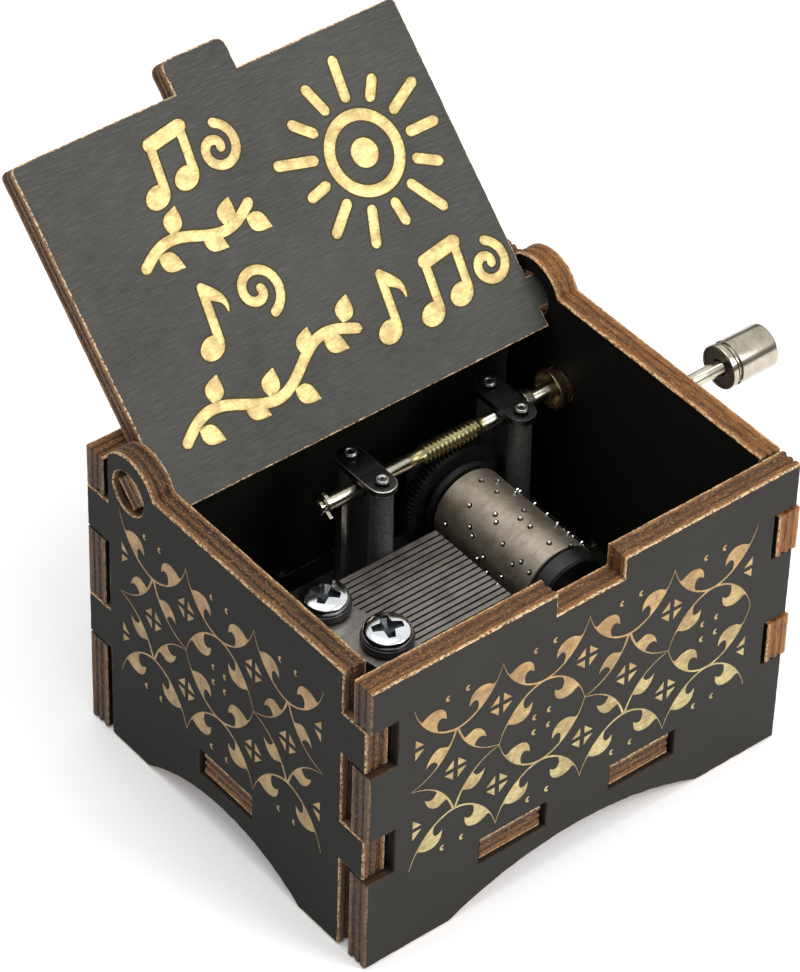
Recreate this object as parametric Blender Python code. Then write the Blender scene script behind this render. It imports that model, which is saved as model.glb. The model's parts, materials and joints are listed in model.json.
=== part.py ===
"""Hand-cranked music box: a finger-jointed plywood case, a lid on wooden pins and an 18-note comb movement.

Box frame while modelling: X runs along the front panel, the front panel faces -Y, +Z is up, and the origin
is on the base plane under the middle of the case. The whole assembly is then moved so that the origin is
the centre of its footprint.
"""
import math

import bmesh
import bpy
from mathutils import Matrix, Vector
from mathutils.geometry import tessellate_polygon

MM = 0.001
GAP = 0.3 * MM

# Case
PLY = 3.3 * MM
CASE_WIDTH = 64.0 * MM
CASE_DEPTH = 53.8 * MM
FRONT_HEIGHT = 44.4 * MM
BACK_HEIGHT = 43.8 * MM
SIDE_HEIGHT = 44.0 * MM
FINGER_BANDS = ((13.9 * MM, 20.75 * MM), (31.1 * MM, 38.0 * MM))
FINGER_LENGTH = 4.2 * MM
FINGER_SLACK = 0.25 * MM
SOCKET_DEPTH = 4.0 * MM
LEFT_LENGTH = 52.9 * MM
LEFT_SHIFT_Y = 0.45 * MM
RIGHT_LENGTH = 54.0 * MM
RIGHT_SHIFT_Y = -0.15 * MM
RIGHT_PROUD_X = 0.4 * MM
FRONT_ARCH_HALF = 19.4 * MM
SIDE_ARCH_HALF = 14.8 * MM
ARCH_RISE = 4.4 * MM
ARCH_SEGMENTS = 14

# Floor panel and its tabs
FLOOR_BOTTOM = 7.35 * MM
SLOT_BOTTOM = 7.0 * MM
SLOT_TOP = 11.0 * MM
SLOT_WIDTH = 10.2 * MM
TAB_WIDTH = 9.2 * MM
TAB_SIDE_GAP = 0.3 * MM
TAB_RECESS = 0.35 * MM
LONG_TAB_X = 10.0 * MM
FLOOR_HALF_X = CASE_WIDTH / 2 - PLY - GAP
FLOOR_HALF_Y = CASE_DEPTH / 2 - PLY - GAP

# Lid and hinge
HINGE_Y = 18.6 * MM
HINGE_Z = 41.9 * MM
EAR_RADIUS = 5.3 * MM
HINGE_BORE = 2.95 * MM
EAR_SEGMENTS = 18
BORE_SEGMENTS = 24
LID_OPEN_ANGLE = math.radians(44.3)
LID_HALF_WIDTH = 28.4 * MM
LID_REACH = 39.8 * MM
LID_TAIL = 4.5 * MM
LID_CORNER = 0.8 * MM
LID_TAB_HALF = 4.65 * MM
LID_TAB_REACH = 44.0 * MM
LID_TAB_CORNER = 1.2 * MM
HINGE_PIN_WIDTH = 4.2 * MM
HINGE_PIN_END = 31.5 * MM
NOTCH_HALF = 5.0 * MM
NOTCH_DEPTH = 3.2 * MM

# Drum and its worm gear
DRUM_X = 12.2 * MM
DRUM_Z = 22.9 * MM
DRUM_RADIUS = 5.2 * MM
DRUM_WALL = 0.7 * MM
DRUM_FRONT = -8.0 * MM
DRUM_BACK = 9.5 * MM
PLUG_LENGTH = 2.5 * MM
END_CAP_LENGTH = 2.7 * MM
END_CAP_CHAMFER = 0.4 * MM
ARBOR_RADIUS = 1.0 * MM
ARBOR_FRONT = -14.6 * MM
ARBOR_BACK = 17.6 * MM
ARBOR_CHAMFER = 0.25 * MM
GEAR_TEETH = 70
GEAR_TIP_RADIUS = 7.45 * MM
GEAR_ROOT_RADIUS = 7.0 * MM
GEAR_WIDTH = 2.0 * MM
TOOTH_TIP_WIDTH = 0.16 * MM
TOOTH_ROOT_WIDTH = 0.32 * MM
MESH_DEPTH = 0.25 * MM
HUB_RADIUS = 4.4 * MM
HUB_FLANGE_RADIUS = 5.5 * MM
HUB_FLANGE_WIDTH = 0.8 * MM
HUB_RECESS = 0.2 * MM

# Crank shaft and worm
SHAFT_Y = 12.5 * MM
WORM_PITCH = 2 * math.pi * (GEAR_TIP_RADIUS - MESH_DEPTH) / GEAR_TEETH
WORM_TIP_RADIUS = 1.25 * MM
WORM_ROOT_RADIUS = 0.9 * MM
WORM_TURNS = 15
WORM_LEFT = DRUM_X - 6.3 * MM
CREST_HALF_WIDTH = 0.08 * MM
THREAD_HALF_WIDTH = 0.17 * MM
SHAFT_RADIUS = 1.0 * MM
SHAFT_Z = DRUM_Z + GEAR_TIP_RADIUS + WORM_TIP_RADIUS - MESH_DEPTH
SHAFT_LEFT_END = -8.8 * MM
SHAFT_CHAMFER = 0.2 * MM
RING_SIDES = 16
CLIP_SEAT = 0.65 * MM
CLIP_GROOVE_START = 0.6 * MM
CLIP_GROOVE_WIDTH = 0.8 * MM
CLIP_RADIUS = 1.9 * MM
CLIP_THICKNESS = 0.5 * MM
CLIP_MOUTH = math.radians(35)
COLLAR_RADIUS = 1.8 * MM
COLLAR_WIDTH = 1.2 * MM
EYELET_RADIUS = 2.0 * MM
EYELET_BORE = 1.45 * MM
EYELET_FLARE = 2.8 * MM
EYELET_FLARE_LENGTH = 1.9 * MM
EYELET_FLANGE = 3.0 * MM
EYELET_FLANGE_WIDTH = 0.8 * MM
EYELET_LIP = 0.35 * MM
CRANK_ANGLE = math.radians(173.0)
CRANK_THROW = 10.6 * MM
CRANK_BEND = 2.4 * MM
CRANK_ARM_X = 37.4 * MM
KNOB_NEAR_X = 45.7 * MM
KNOB_LENGTH = 7.5 * MM
KNOB_RADIUS = 3.0 * MM
KNOB_RIM = 0.35 * MM
KNOB_END_ROUND = 0.5 * MM
KNOB_CAVITY_RADIUS = 2.3 * MM
KNOB_CAVITY_END = 4.6 * MM
BUSHING_FLANGE = 0.9 * MM
BUSHING_RIM = 0.2 * MM
BUSHING_LENGTH = 2.2 * MM
PEENED_END = 2.6 * MM
PEENED_RADIUS = 1.7 * MM
PEENED_LENGTH = 0.7 * MM
PEENED_ROUND = 0.4 * MM

# Shaft stands
STAND_X = (-1.2 * MM, 20.4 * MM)
SADDLE_X = ((-2.1 * MM, -0.3 * MM), (20.1 * MM, 22.2 * MM))
STRAP_Y = 12.7 * MM
RIVET_SPACING = 6.2 * MM
POST_RADIUS = 1.4 * MM
POST_DRAFT = 0.35 * MM
STRAP_HALF_WIDTH = 1.9 * MM
STRAP_THICKNESS = 0.9 * MM
STRAP_BOTTOM = SHAFT_Z + SHAFT_RADIUS + GAP
RIVET_SHANK = 0.5 * MM
RIVET_LENGTH = 3.0 * MM
RIVET_HEAD = 0.95 * MM
RIVET_HEAD_HEIGHT = 0.4 * MM
RIVET_DIMPLE = 0.4 * MM
SHAFT_REST_X = (-5.3 * MM, -4.5 * MM)
SHAFT_REST_HALF = 0.45 * MM

# Bedplate
BED_BOTTOM = FLOOR_BOTTOM + PLY + GAP
BED_TOP = BED_BOTTOM + 2.3 * MM
BED_LEFT = -17.0 * MM
BED_RIGHT = 25.0 * MM
BED_FRONT = -14.6 * MM
BED_REAR = 18.2 * MM
BED_OVERLAP = 0.4 * MM
BEARING_WIDTH = 6.4 * MM
FRONT_BEARING_Y = (BED_FRONT + 0.4 * MM, BED_FRONT + 2.6 * MM)
REAR_BEARING_Y = (BED_REAR - 2.7 * MM, BED_REAR - 0.8 * MM)

# Comb
TINES = 18
TINE_PITCH = 0.905 * MM
TINE_GAP = 0.28 * MM
COMB_BACK = 7.75 * MM
COMB_FRONT = COMB_BACK - TINES * TINE_PITCH
COMB_TIP_X = 5.9 * MM
COMB_BOTTOM = 22.4 * MM
COMB_THICKNESS = 0.9 * MM
ROOT_BACK_X = -11.4 * MM
ROOT_FRONT_X = -7.6 * MM
COMB_LEFT_BACK_X = -17.4 * MM
COMB_LEFT_FRONT_X = -14.4 * MM
COMB_SEAT_INSET = 0.4 * MM
COMB_SCREWS = ((-13.3 * MM, 5.1 * MM), (-11.0 * MM, -4.0 * MM))
COMB_SCREW_SHANK = 1.2 * MM
COMB_SCREW_LENGTH = 7.0 * MM
COMB_SCREW_BORE_DEPTH = 8.0 * MM
COMB_SCREW_HEAD = 3.05 * MM
COMB_SCREW_HEAD_HEIGHT = 1.7 * MM
COMB_SCREW_RECESS = 1.75 * MM
WASHER_RADIUS = 3.3 * MM
WASHER_HEIGHT = 0.9 * MM

# Screws into the bedplate from below
BASE_SCREW_SHANK = 1.0 * MM
BASE_SCREW_LENGTH = 5.2 * MM
BASE_SCREW_HEAD = 2.2 * MM
BASE_SCREW_HEAD_HEIGHT = 1.3 * MM
BASE_SCREW_RECESS = 1.2 * MM
BASE_SCREW_BORE = 1.3 * MM
BASE_SCREW_ROOF = 0.3 * MM
BASE_SCREWS = ((-13.5 * MM, -11.2 * MM), (-13.5 * MM, 14.6 * MM), (21.6 * MM, -11.2 * MM))


# ------------------------------------------------------------------ materials

def material(name, colour, roughness, metallic=0.0):
    """A plain Principled material."""
    mat = bpy.data.materials.new(name)
    mat.use_nodes = True
    shader = mat.node_tree.nodes["Principled BSDF"]
    shader.inputs["Base Color"].default_value = (*colour, 1.0)
    shader.inputs["Roughness"].default_value = roughness
    shader.inputs["Metallic"].default_value = metallic
    return mat


def make_materials():
    """One material for each kind of finish."""
    return {
        "painted_ply": material("painted_ply", (0.065, 0.062, 0.058), 0.55),
        "cast_zinc": material("cast_zinc", (0.11, 0.11, 0.115), 0.5, 0.8),
        "dark_steel": material("dark_steel", (0.09, 0.09, 0.095), 0.4, 0.9),
        "nickel": material("nickel", (0.72, 0.68, 0.61), 0.2, 1.0),
        "satin_nickel": material("satin_nickel", (0.42, 0.39, 0.34), 0.35, 1.0),
        "comb_steel": material("comb_steel", (0.3, 0.29, 0.28), 0.4, 1.0),
        "chrome": material("chrome", (0.8, 0.82, 0.84), 0.1, 1.0),
        "brass": material("brass", (0.55, 0.42, 0.2), 0.3, 1.0),
        "black_plastic": material("black_plastic", (0.02, 0.02, 0.02), 0.45),
    }


# ------------------------------------------------------------------ mesh helpers

def add_object(name, mesh, mat, parent, smooth_angle=None):
    """Link a mesh as a named object with its own copy of a material."""
    mesh.materials.append(mat)
    if smooth_angle is not None:
        mesh.shade_smooth()
        mesh.set_sharp_from_angle(angle=math.radians(smooth_angle))
    obj = bpy.data.objects.new(name, mesh)
    bpy.context.collection.objects.link(obj)
    obj.parent = parent
    return obj


def add_empty(name, parent=None, location=(0, 0, 0), turn_x=0.0):
    """An axis or assembly empty."""
    empty = bpy.data.objects.new(name, None)
    empty.empty_display_size = 5 * MM
    bpy.context.collection.objects.link(empty)
    empty.parent = parent
    empty.location = location
    empty.rotation_euler = (turn_x, 0, 0)
    return empty


def mesh_from(name, verts, faces):
    """A mesh whose faces point outwards."""
    bm = bmesh.new()
    points = [bm.verts.new(v) for v in verts]
    for face in faces:
        bm.faces.new([points[i] for i in face])
    bmesh.ops.recalc_face_normals(bm, faces=bm.faces)
    mesh = bpy.data.meshes.new(name)
    bm.to_mesh(mesh)
    bm.free()
    return mesh


def plate(name, outline, holes, low, high, place):
    """A flat sheet: an outline with holes, from low to high along its normal.

    place(a, b, c) turns outline coordinates a, b and height c into a point.
    """
    loops = [outline] + list(holes)
    flat = [point for loop in loops for point in loop]
    caps = tessellate_polygon([[Vector((a, b, 0)) for a, b in loop] for loop in loops])
    count = len(flat)
    verts = [place(a, b, low) for a, b in flat] + [place(a, b, high) for a, b in flat]
    faces = [tuple(tri) for tri in caps]
    faces += [tuple(i + count for i in reversed(tri)) for tri in caps]
    start = 0
    for loop in loops:
        size = len(loop)
        for i in range(size):
            a = start + i
            b = start + (i + 1) % size
            faces.append((a, b, b + count, a + count))
        start += size
    return mesh_from(name, verts, faces)


def flat_xy(a, b, c):
    """Sheet lying flat."""
    return (a, b, c)


def facing_front(a, b, c):
    """Sheet standing across the depth."""
    return (a, c, b)


def facing_side(a, b, c):
    """Sheet standing across the width."""
    return (c, a, b)


def arc(centre, radius, start, end, segments):
    """Points on a circle from one angle to another, ends included."""
    points = []
    for i in range(segments + 1):
        angle = start + (end - start) * i / segments
        points.append((centre[0] + radius * math.cos(angle), centre[1] + radius * math.sin(angle)))
    return points


def circle(centre, radius, segments=BORE_SEGMENTS):
    """A closed round loop."""
    return arc(centre, radius, 0, 2 * math.pi, segments)[:-1]


def rectangle(low_a, low_b, high_a, high_b):
    """A closed four-corner loop."""
    return [(low_a, low_b), (high_a, low_b), (high_a, high_b), (low_a, high_b)]


def arch(half, rise):
    """The foot arch from +half to -half, a single arc through its crown."""
    radius = (half * half + rise * rise) / (2 * rise)
    spread = math.asin(half / radius)
    centre = (0, rise - radius)
    return arc(centre, radius, math.pi / 2 - spread, math.pi / 2 + spread, ARCH_SEGMENTS)


def box(name, low, high):
    """A rectangular block."""
    outline = rectangle(low[0], low[1], high[0], high[1])
    return plate(name, outline, [], low[2], high[2], flat_xy)


def turned(name, profile, axis="X", sides=RING_SIDES):
    """A solid or ring turned about an axis from (distance along, radius) points.

    A profile that starts and ends at radius 0 is solid. Any other profile is closed on itself.
    """
    solid = profile[0][1] == 0 and profile[-1][1] == 0
    rows = profile[1:-1] if solid else profile
    verts = []
    for along, radius in rows:
        for j in range(sides):
            angle = 2 * math.pi * j / sides
            verts.append((along, radius * math.cos(angle), radius * math.sin(angle)))
    faces = []
    last = len(rows) - 1 if solid else len(rows)
    for i in range(last):
        k = (i + 1) % len(rows)
        for j in range(sides):
            n = (j + 1) % sides
            faces.append((i * sides + j, i * sides + n, k * sides + n, k * sides + j))
    if solid:
        faces.append(tuple(range(sides)))
        faces.append(tuple(range((len(rows) - 1) * sides, len(rows) * sides)))
    mesh = mesh_from(name, verts, faces)
    if axis == "Y":
        mesh.transform(Matrix.Rotation(math.pi / 2, 4, "Z"))
    elif axis == "Z":
        mesh.transform(Matrix.Rotation(-math.pi / 2, 4, "Y"))
    return mesh


def moved(mesh, x, y, z):
    """The same mesh, shifted."""
    mesh.transform(Matrix.Translation((x, y, z)))
    return mesh


def cutter(name, mesh, parent):
    """A hidden object that only serves a Boolean."""
    obj = bpy.data.objects.new(name, mesh)
    bpy.context.collection.objects.link(obj)
    obj.parent = parent
    obj.hide_render = True
    obj.display_type = "WIRE"
    return obj


def combine(obj, other, operation):
    """Join to, or cut from, an object with an exact Boolean."""
    modifier = obj.modifiers.new(other.name, "BOOLEAN")
    modifier.solver = "EXACT"
    modifier.operation = operation
    modifier.object = other


# ------------------------------------------------------------------ case

def end_panel_outline(height, notched):
    """Front or back panel: arched foot, open sockets at both ends and, on the front, the lid notch."""
    half = CASE_WIDTH / 2
    inner = half - SOCKET_DEPTH
    points = [(half, 0)]
    for low, high in FINGER_BANDS:
        points += [(half, low), (inner, low), (inner, high), (half, high)]
    points.append((half, height))
    if notched:
        floor = height - NOTCH_DEPTH
        points += [(NOTCH_HALF, height), (NOTCH_HALF, floor), (-NOTCH_HALF, floor), (-NOTCH_HALF, height)]
    points.append((-half, height))
    for low, high in reversed(FINGER_BANDS):
        points += [(-half, high), (-inner, high), (-inner, low), (-half, low)]
    points.append((-half, 0))
    points += reversed(arch(FRONT_ARCH_HALF, ARCH_RISE))
    return points


def floor_slots(centres):
    """Slots for the floor panel's tabs."""
    half = SLOT_WIDTH / 2
    return [rectangle(c - half, SLOT_BOTTOM, c + half, SLOT_TOP) for c in centres]


def make_end_panels(parent, mats):
    """Front and back panels."""
    outer = CASE_DEPTH / 2
    slots = floor_slots((-LONG_TAB_X, LONG_TAB_X))
    front_outline = end_panel_outline(FRONT_HEIGHT, True)
    back_outline = end_panel_outline(BACK_HEIGHT, False)
    front = plate("front_panel", front_outline, slots, -outer, -outer + PLY, facing_front)
    back = plate("back_panel", back_outline, slots, outer - PLY, outer, facing_front)
    add_object("front_panel", front, mats["painted_ply"], parent)
    add_object("back_panel", back, mats["painted_ply"], parent)


def side_panel_outline(length, shift):
    """Side panel: fingers at both ends, an arched foot and a round ear around the hinge bore."""
    tip = length / 2
    shoulder = tip - FINGER_LENGTH
    points = [(shoulder, 0)]
    for low, high in FINGER_BANDS:
        low, high = low + FINGER_SLACK, high - FINGER_SLACK
        points += [(shoulder, low), (tip, low), (tip, high), (shoulder, high)]
    ear_y = HINGE_Y - shift
    rise = math.asin((SIDE_HEIGHT - HINGE_Z) / EAR_RADIUS)
    rear = math.acos(min(1.0, (shoulder - ear_y) / EAR_RADIUS))
    points.append((shoulder, HINGE_Z + EAR_RADIUS * math.sin(rear)))
    points += arc((ear_y, HINGE_Z), EAR_RADIUS, rear, math.pi - rise, EAR_SEGMENTS)[1:]
    points.append((-shoulder, SIDE_HEIGHT))
    for low, high in reversed(FINGER_BANDS):
        low, high = low + FINGER_SLACK, high - FINGER_SLACK
        points += [(-shoulder, high), (-tip, high), (-tip, low), (-shoulder, low)]
    points.append((-shoulder, 0))
    points += reversed(arch(SIDE_ARCH_HALF, ARCH_RISE))
    return points


def make_side_panel(name, sign, length, shift, proud, bores, parent, mats):
    """A side panel on the -X or +X side."""
    outline = [(a + shift, b) for a, b in side_panel_outline(length, shift)]
    holes = floor_slots((0,)) + [circle((HINGE_Y, HINGE_Z), HINGE_BORE)] + bores
    outer = sign * (CASE_WIDTH / 2 + proud)
    inner = outer - sign * PLY
    mesh = plate(name, outline, holes, min(inner, outer), max(inner, outer), facing_side)
    add_object(name, mesh, mats["painted_ply"], parent)


def tab(centre, base, reach, along_x):
    """Four points of one floor tab, in rising order along its edge."""
    low = centre - SLOT_WIDTH / 2 + TAB_SIDE_GAP
    high = low + TAB_WIDTH
    corners = [(low, base), (low, reach), (high, reach), (high, base)]
    return corners if along_x else [(b, a) for a, b in corners]


def make_bottom_panel(parent, mats):
    """Floor panel with six tabs and three screw holes."""
    half_x = FLOOR_HALF_X
    half_y = FLOOR_HALF_Y
    reach_x = CASE_WIDTH / 2 - TAB_RECESS
    reach_y = CASE_DEPTH / 2 - TAB_RECESS
    front = [point for c in (-LONG_TAB_X, LONG_TAB_X) for point in tab(c, -half_y, -reach_y, True)]
    back = [point for c in (-LONG_TAB_X, LONG_TAB_X) for point in tab(c, half_y, reach_y, True)]
    outline = [(-half_x, -half_y)] + front + [(half_x, -half_y)]
    outline += tab(0, half_x, reach_x, False) + [(half_x, half_y)]
    outline += back[::-1] + [(-half_x, half_y)] + tab(0, -half_x, -reach_x, False)[::-1]
    holes = [circle(centre, BASE_SCREW_BORE, 16) for centre in BASE_SCREWS]
    mesh = plate("bottom_panel", outline, holes, FLOOR_BOTTOM, FLOOR_BOTTOM + PLY, flat_xy)
    add_object("bottom_panel", mesh, mats["painted_ply"], parent)


def make_lid(axis, mats):
    """Lid in its own frame: X along the hinge, +Y towards the free edge, +Z out of the inner face."""
    pin = HINGE_PIN_WIDTH / 2
    tab_half = LID_TAB_HALF
    corner = LID_CORNER
    tab_corner = LID_TAB_CORNER
    half = LID_HALF_WIDTH
    turn = math.pi / 2
    right = [(half, -LID_TAIL), (half, -pin), (HINGE_PIN_END, -pin), (HINGE_PIN_END, pin), (half, pin)]
    right += arc((half - corner, LID_REACH - corner), corner, 0, turn, 3)
    right.append((tab_half, LID_REACH))
    right += arc((tab_half - tab_corner, LID_TAB_REACH - tab_corner), tab_corner, 0, turn, 4)
    left = [(-a, b) for a, b in reversed(right)]
    mesh = plate("lid", right + left, [], -PLY / 2, PLY / 2, flat_xy)
    add_object("lid", mesh, mats["painted_ply"], axis)


# ------------------------------------------------------------------ drum

def make_drum_barrel(axis, mats):
    """Thin-walled drum, in the drum's frame: the axis is Y and the origin is at the worm."""
    inner = DRUM_RADIUS - DRUM_WALL
    front = DRUM_FRONT - SHAFT_Y
    back = DRUM_BACK - SHAFT_Y
    profile = [(front, inner), (front, DRUM_RADIUS), (back, DRUM_RADIUS), (back, inner)]
    mesh = turned("drum_barrel", profile, "Y", 40)
    add_object("drum_barrel", mesh, mats["satin_nickel"], axis, 40)


def make_drum_end_cap(axis, mats):
    """Black plug in the drum's front end, bored for the arbor."""
    plug = DRUM_RADIUS - DRUM_WALL - GAP
    rim = DRUM_RADIUS - END_CAP_CHAMFER / 2
    bore = ARBOR_RADIUS + GAP
    seat = DRUM_FRONT - SHAFT_Y
    tip = seat - END_CAP_LENGTH
    inner_end = seat + PLUG_LENGTH
    profile = [(tip, bore), (tip, rim - END_CAP_CHAMFER), (tip + END_CAP_CHAMFER, rim), (seat - GAP, rim)]
    profile += [(seat - GAP, plug), (inner_end, plug), (inner_end, bore)]
    add_object("drum_end_cap", turned("drum_end_cap", profile, "Y", 32), mats["black_plastic"], axis, 40)


def gear_rows(half):
    """The wheel's toothed outline at -half and +half along its axis, one tooth pointing straight up."""
    rake = WORM_PITCH / (2 * math.pi * (WORM_TIP_RADIUS - MESH_DEPTH)) / GEAR_TIP_RADIUS
    step = 2 * math.pi / GEAR_TEETH
    tip = TOOTH_TIP_WIDTH / 2 / GEAR_TIP_RADIUS
    root = TOOTH_ROOT_WIDTH / 2 / GEAR_ROOT_RADIUS
    corners = [(-root, GEAR_ROOT_RADIUS), (-tip, GEAR_TIP_RADIUS), (tip, GEAR_TIP_RADIUS)]
    corners.append((root, GEAR_ROOT_RADIUS))
    rows = []
    for along in (-half, half):
        row = []
        for tooth in range(GEAR_TEETH):
            for offset, radius in corners:
                angle = tooth * step + offset + rake * along
                row.append((radius * math.sin(angle), along, radius * math.cos(angle)))
        rows.append(row)
    return rows


def bore_rows(radius, half, sides):
    """The wheel's round bore at -half and +half along its axis."""
    rows = []
    for along in (-half, half):
        angles = [2 * math.pi * j / sides for j in range(sides)]
        rows.append([(radius * math.sin(angle), along, radius * math.cos(angle)) for angle in angles])
    return rows


def make_drum_gear(axis, mats):
    """Worm wheel with slightly raked teeth, and the hub that plugs it into the drum."""
    half = GEAR_WIDTH / 2
    bore = ARBOR_RADIUS + GAP
    sides = 4 * GEAR_TEETH // 7
    rows = gear_rows(half)
    inner = bore_rows(bore, half, sides)
    count = len(rows[0])
    base = 2 * count
    verts = rows[0] + rows[1] + inner[0] + inner[1]
    faces = [(i, (i + 1) % count, (i + 1) % count + count, i + count) for i in range(count)]
    for i in range(sides):
        n = (i + 1) % sides
        faces.append((base + i, base + n, base + sides + n, base + sides + i))
    for side in (0, 1):
        loops = [[Vector((x, z, 0)) for x, _, z in ring] for ring in (rows[side], inner[side])]
        for triangle in tessellate_polygon(loops):
            outer_start = side * count
            inner_start = base + side * sides - count
            faces.append(tuple(i + (outer_start if i < count else inner_start) for i in triangle))
    gear = add_object("drum_gear", mesh_from("drum_gear", verts, faces), mats["black_plastic"], axis, 30)

    flange = DRUM_BACK - SHAFT_Y + GAP
    plug = DRUM_RADIUS - DRUM_WALL - GAP
    face = -half + HUB_RECESS
    hub = [(face, bore), (face, HUB_RADIUS), (flange + HUB_FLANGE_WIDTH, HUB_RADIUS)]
    hub += [(flange + HUB_FLANGE_WIDTH, HUB_FLANGE_RADIUS), (flange, HUB_FLANGE_RADIUS), (flange, plug)]
    hub += [(flange - PLUG_LENGTH, plug), (flange - PLUG_LENGTH, bore)]
    combine(gear, cutter("drum_gear_hub", turned("drum_gear_hub", hub, "Y", sides), axis), "UNION")


def make_drum_arbor(axis, mats):
    """Steel axle through the drum."""
    front = ARBOR_FRONT - SHAFT_Y
    back = ARBOR_BACK - SHAFT_Y
    tip = ARBOR_RADIUS - ARBOR_CHAMFER
    profile = [(front, 0), (front, tip), (front + ARBOR_CHAMFER, ARBOR_RADIUS)]
    profile += [(back - ARBOR_CHAMFER, ARBOR_RADIUS), (back, tip), (back, 0)]
    add_object("drum_arbor", turned("drum_arbor", profile, "Y"), mats["nickel"], axis, 40)


# ------------------------------------------------------------------ crank

def ring(centre, heading, radius):
    """A ring of points around a path point, for a path that bends in the XY plane."""
    across = Vector((-math.sin(heading), math.cos(heading), 0))
    points = []
    for j in range(RING_SIDES):
        angle = 2 * math.pi * j / RING_SIDES
        rise = Vector((0, 0, radius * math.sin(angle)))
        points.append(Vector((*centre, 0)) + across * (radius * math.cos(angle)) + rise)
    return points


def worm_rows(start, phase):
    """Helical rows of the worm: four rows to each turn, the first and last turns fading into the shaft."""
    crest = CREST_HALF_WIDTH
    root = THREAD_HALF_WIDTH
    shape = ((-root, 0), (-crest, 1), (crest, 1), (root, 0))
    rows = []
    for turn in range(WORM_TURNS):
        for offset, raised in shape:
            full = 0 < turn < WORM_TURNS - 1
            radius = WORM_ROOT_RADIUS + (WORM_TIP_RADIUS - WORM_ROOT_RADIUS) * raised * full
            row = []
            for j in range(RING_SIDES):
                angle = 2 * math.pi * j / RING_SIDES
                x = start + phase + WORM_PITCH * (turn + angle / (2 * math.pi)) + offset
                row.append(Vector((x, radius * math.cos(angle), radius * math.sin(angle))))
            rows.append(row)
    return rows


def worm_phase():
    """Shift that centres a worm groove over the top gear tooth, in the turned crank's own frame."""
    straight_down = -0.25
    crest_at_tooth = DRUM_X - WORM_LEFT - WORM_PITCH * (straight_down - CRANK_ANGLE / (2 * math.pi))
    return (crest_at_tooth + WORM_PITCH / 2) % WORM_PITCH


def shaft_path():
    """Path points after the worm: (x, y, heading, radius) up to the peened handle end inside the knob."""
    straight = 0.0
    square = math.pi / 2
    bend = CRANK_BEND
    radius = SHAFT_RADIUS
    steps = 6
    path = [(CRANK_ARM_X - bend, 0.0, straight, radius)]
    for i in range(1, steps + 1):
        angle = square * i / steps
        x = CRANK_ARM_X - bend + bend * math.sin(angle)
        path.append((x, bend - bend * math.cos(angle), angle, radius))
    for i in range(steps + 1):
        angle = square * i / steps
        x = CRANK_ARM_X + bend - bend * math.cos(angle)
        y = CRANK_THROW - bend + bend * math.sin(angle)
        path.append((x, y, square - angle, radius))
    head = KNOB_NEAR_X + PEENED_END
    path.append((head, CRANK_THROW, straight, radius))
    path.append((head, CRANK_THROW, straight, PEENED_RADIUS))
    path.append((head + PEENED_LENGTH, CRANK_THROW, straight, PEENED_RADIUS))
    path.append((head + PEENED_LENGTH + PEENED_ROUND, CRANK_THROW, straight, PEENED_RADIUS - PEENED_ROUND))
    return path


def make_crank_shaft(axis, mats):
    """One rod: grooved left end, journal, worm, journal, crank arm and handle, with a peened end."""
    radius = SHAFT_RADIUS
    left = [(SHAFT_LEFT_END, radius - SHAFT_CHAMFER), (SHAFT_LEFT_END + SHAFT_CHAMFER, radius)]
    groove = SHAFT_LEFT_END + CLIP_GROOVE_START
    groove_end = groove + CLIP_GROOVE_WIDTH
    left += [(groove, radius), (groove, CLIP_SEAT), (groove_end, CLIP_SEAT), (groove_end, radius)]
    neck = WORM_LEFT - 1.25 * WORM_PITCH
    left += [(neck - SHAFT_CHAMFER, radius), (neck, WORM_ROOT_RADIUS)]
    rings = [ring((x, 0), 0.0, size) for x, size in left]
    rows = worm_rows(WORM_LEFT, worm_phase())
    worm_right = WORM_LEFT + WORM_PITCH * (WORM_TURNS + 1.5)
    tail = [ring((worm_right, 0), 0.0, WORM_ROOT_RADIUS), ring((worm_right + SHAFT_CHAMFER, 0), 0.0, radius)]
    tail += [ring((x, y), heading, size) for x, y, heading, size in shaft_path()]

    verts = [point for row in rings + rows + tail for point in row]
    sides = RING_SIDES
    faces = []

    def at(row, j):
        return row * sides + j

    def band(first, second):
        for j in range(sides):
            n = (j + 1) % sides
            faces.append((at(first, j), at(first, n), at(second, n), at(second, j)))

    for i in range(len(rings) - 1):
        band(i, i + 1)
    first = len(rings)
    last = first + len(rows) - 1
    per_turn = 4
    seam = sides - 1
    for j in range(seam):
        faces.append((at(first - 1, j), at(first - 1, j + 1), at(first, j + 1), at(first, j)))
        faces.append((at(last, j), at(last, j + 1), at(last + 1, j + 1), at(last + 1, j)))
    opening = [at(first - 1, seam), at(first - 1, 0)] + [at(first + k, 0) for k in range(per_turn + 1)]
    faces.append(tuple(opening + [at(first, seam)]))
    closing = [at(last + 1, 0), at(last + 1, seam)] + [at(last - k, seam) for k in range(per_turn + 1)]
    faces.append(tuple(closing + [at(last, 0)]))
    for row in range(first, last):
        for j in range(seam):
            faces.append((at(row, j), at(row, j + 1), at(row + 1, j + 1), at(row + 1, j)))
    for row in range(first, last - per_turn):
        faces.append((at(row, seam), at(row + per_turn, 0), at(row + per_turn + 1, 0), at(row + 1, seam)))
    for i in range(len(tail) - 1):
        band(last + 1 + i, last + 2 + i)
    faces.append(tuple(range(sides)))
    total = len(verts)
    faces.append(tuple(range(total - sides, total)))
    mesh = mesh_from("crank_shaft", verts, faces)
    add_object("crank_shaft", mesh, mats["nickel"], axis, 50)


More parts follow.
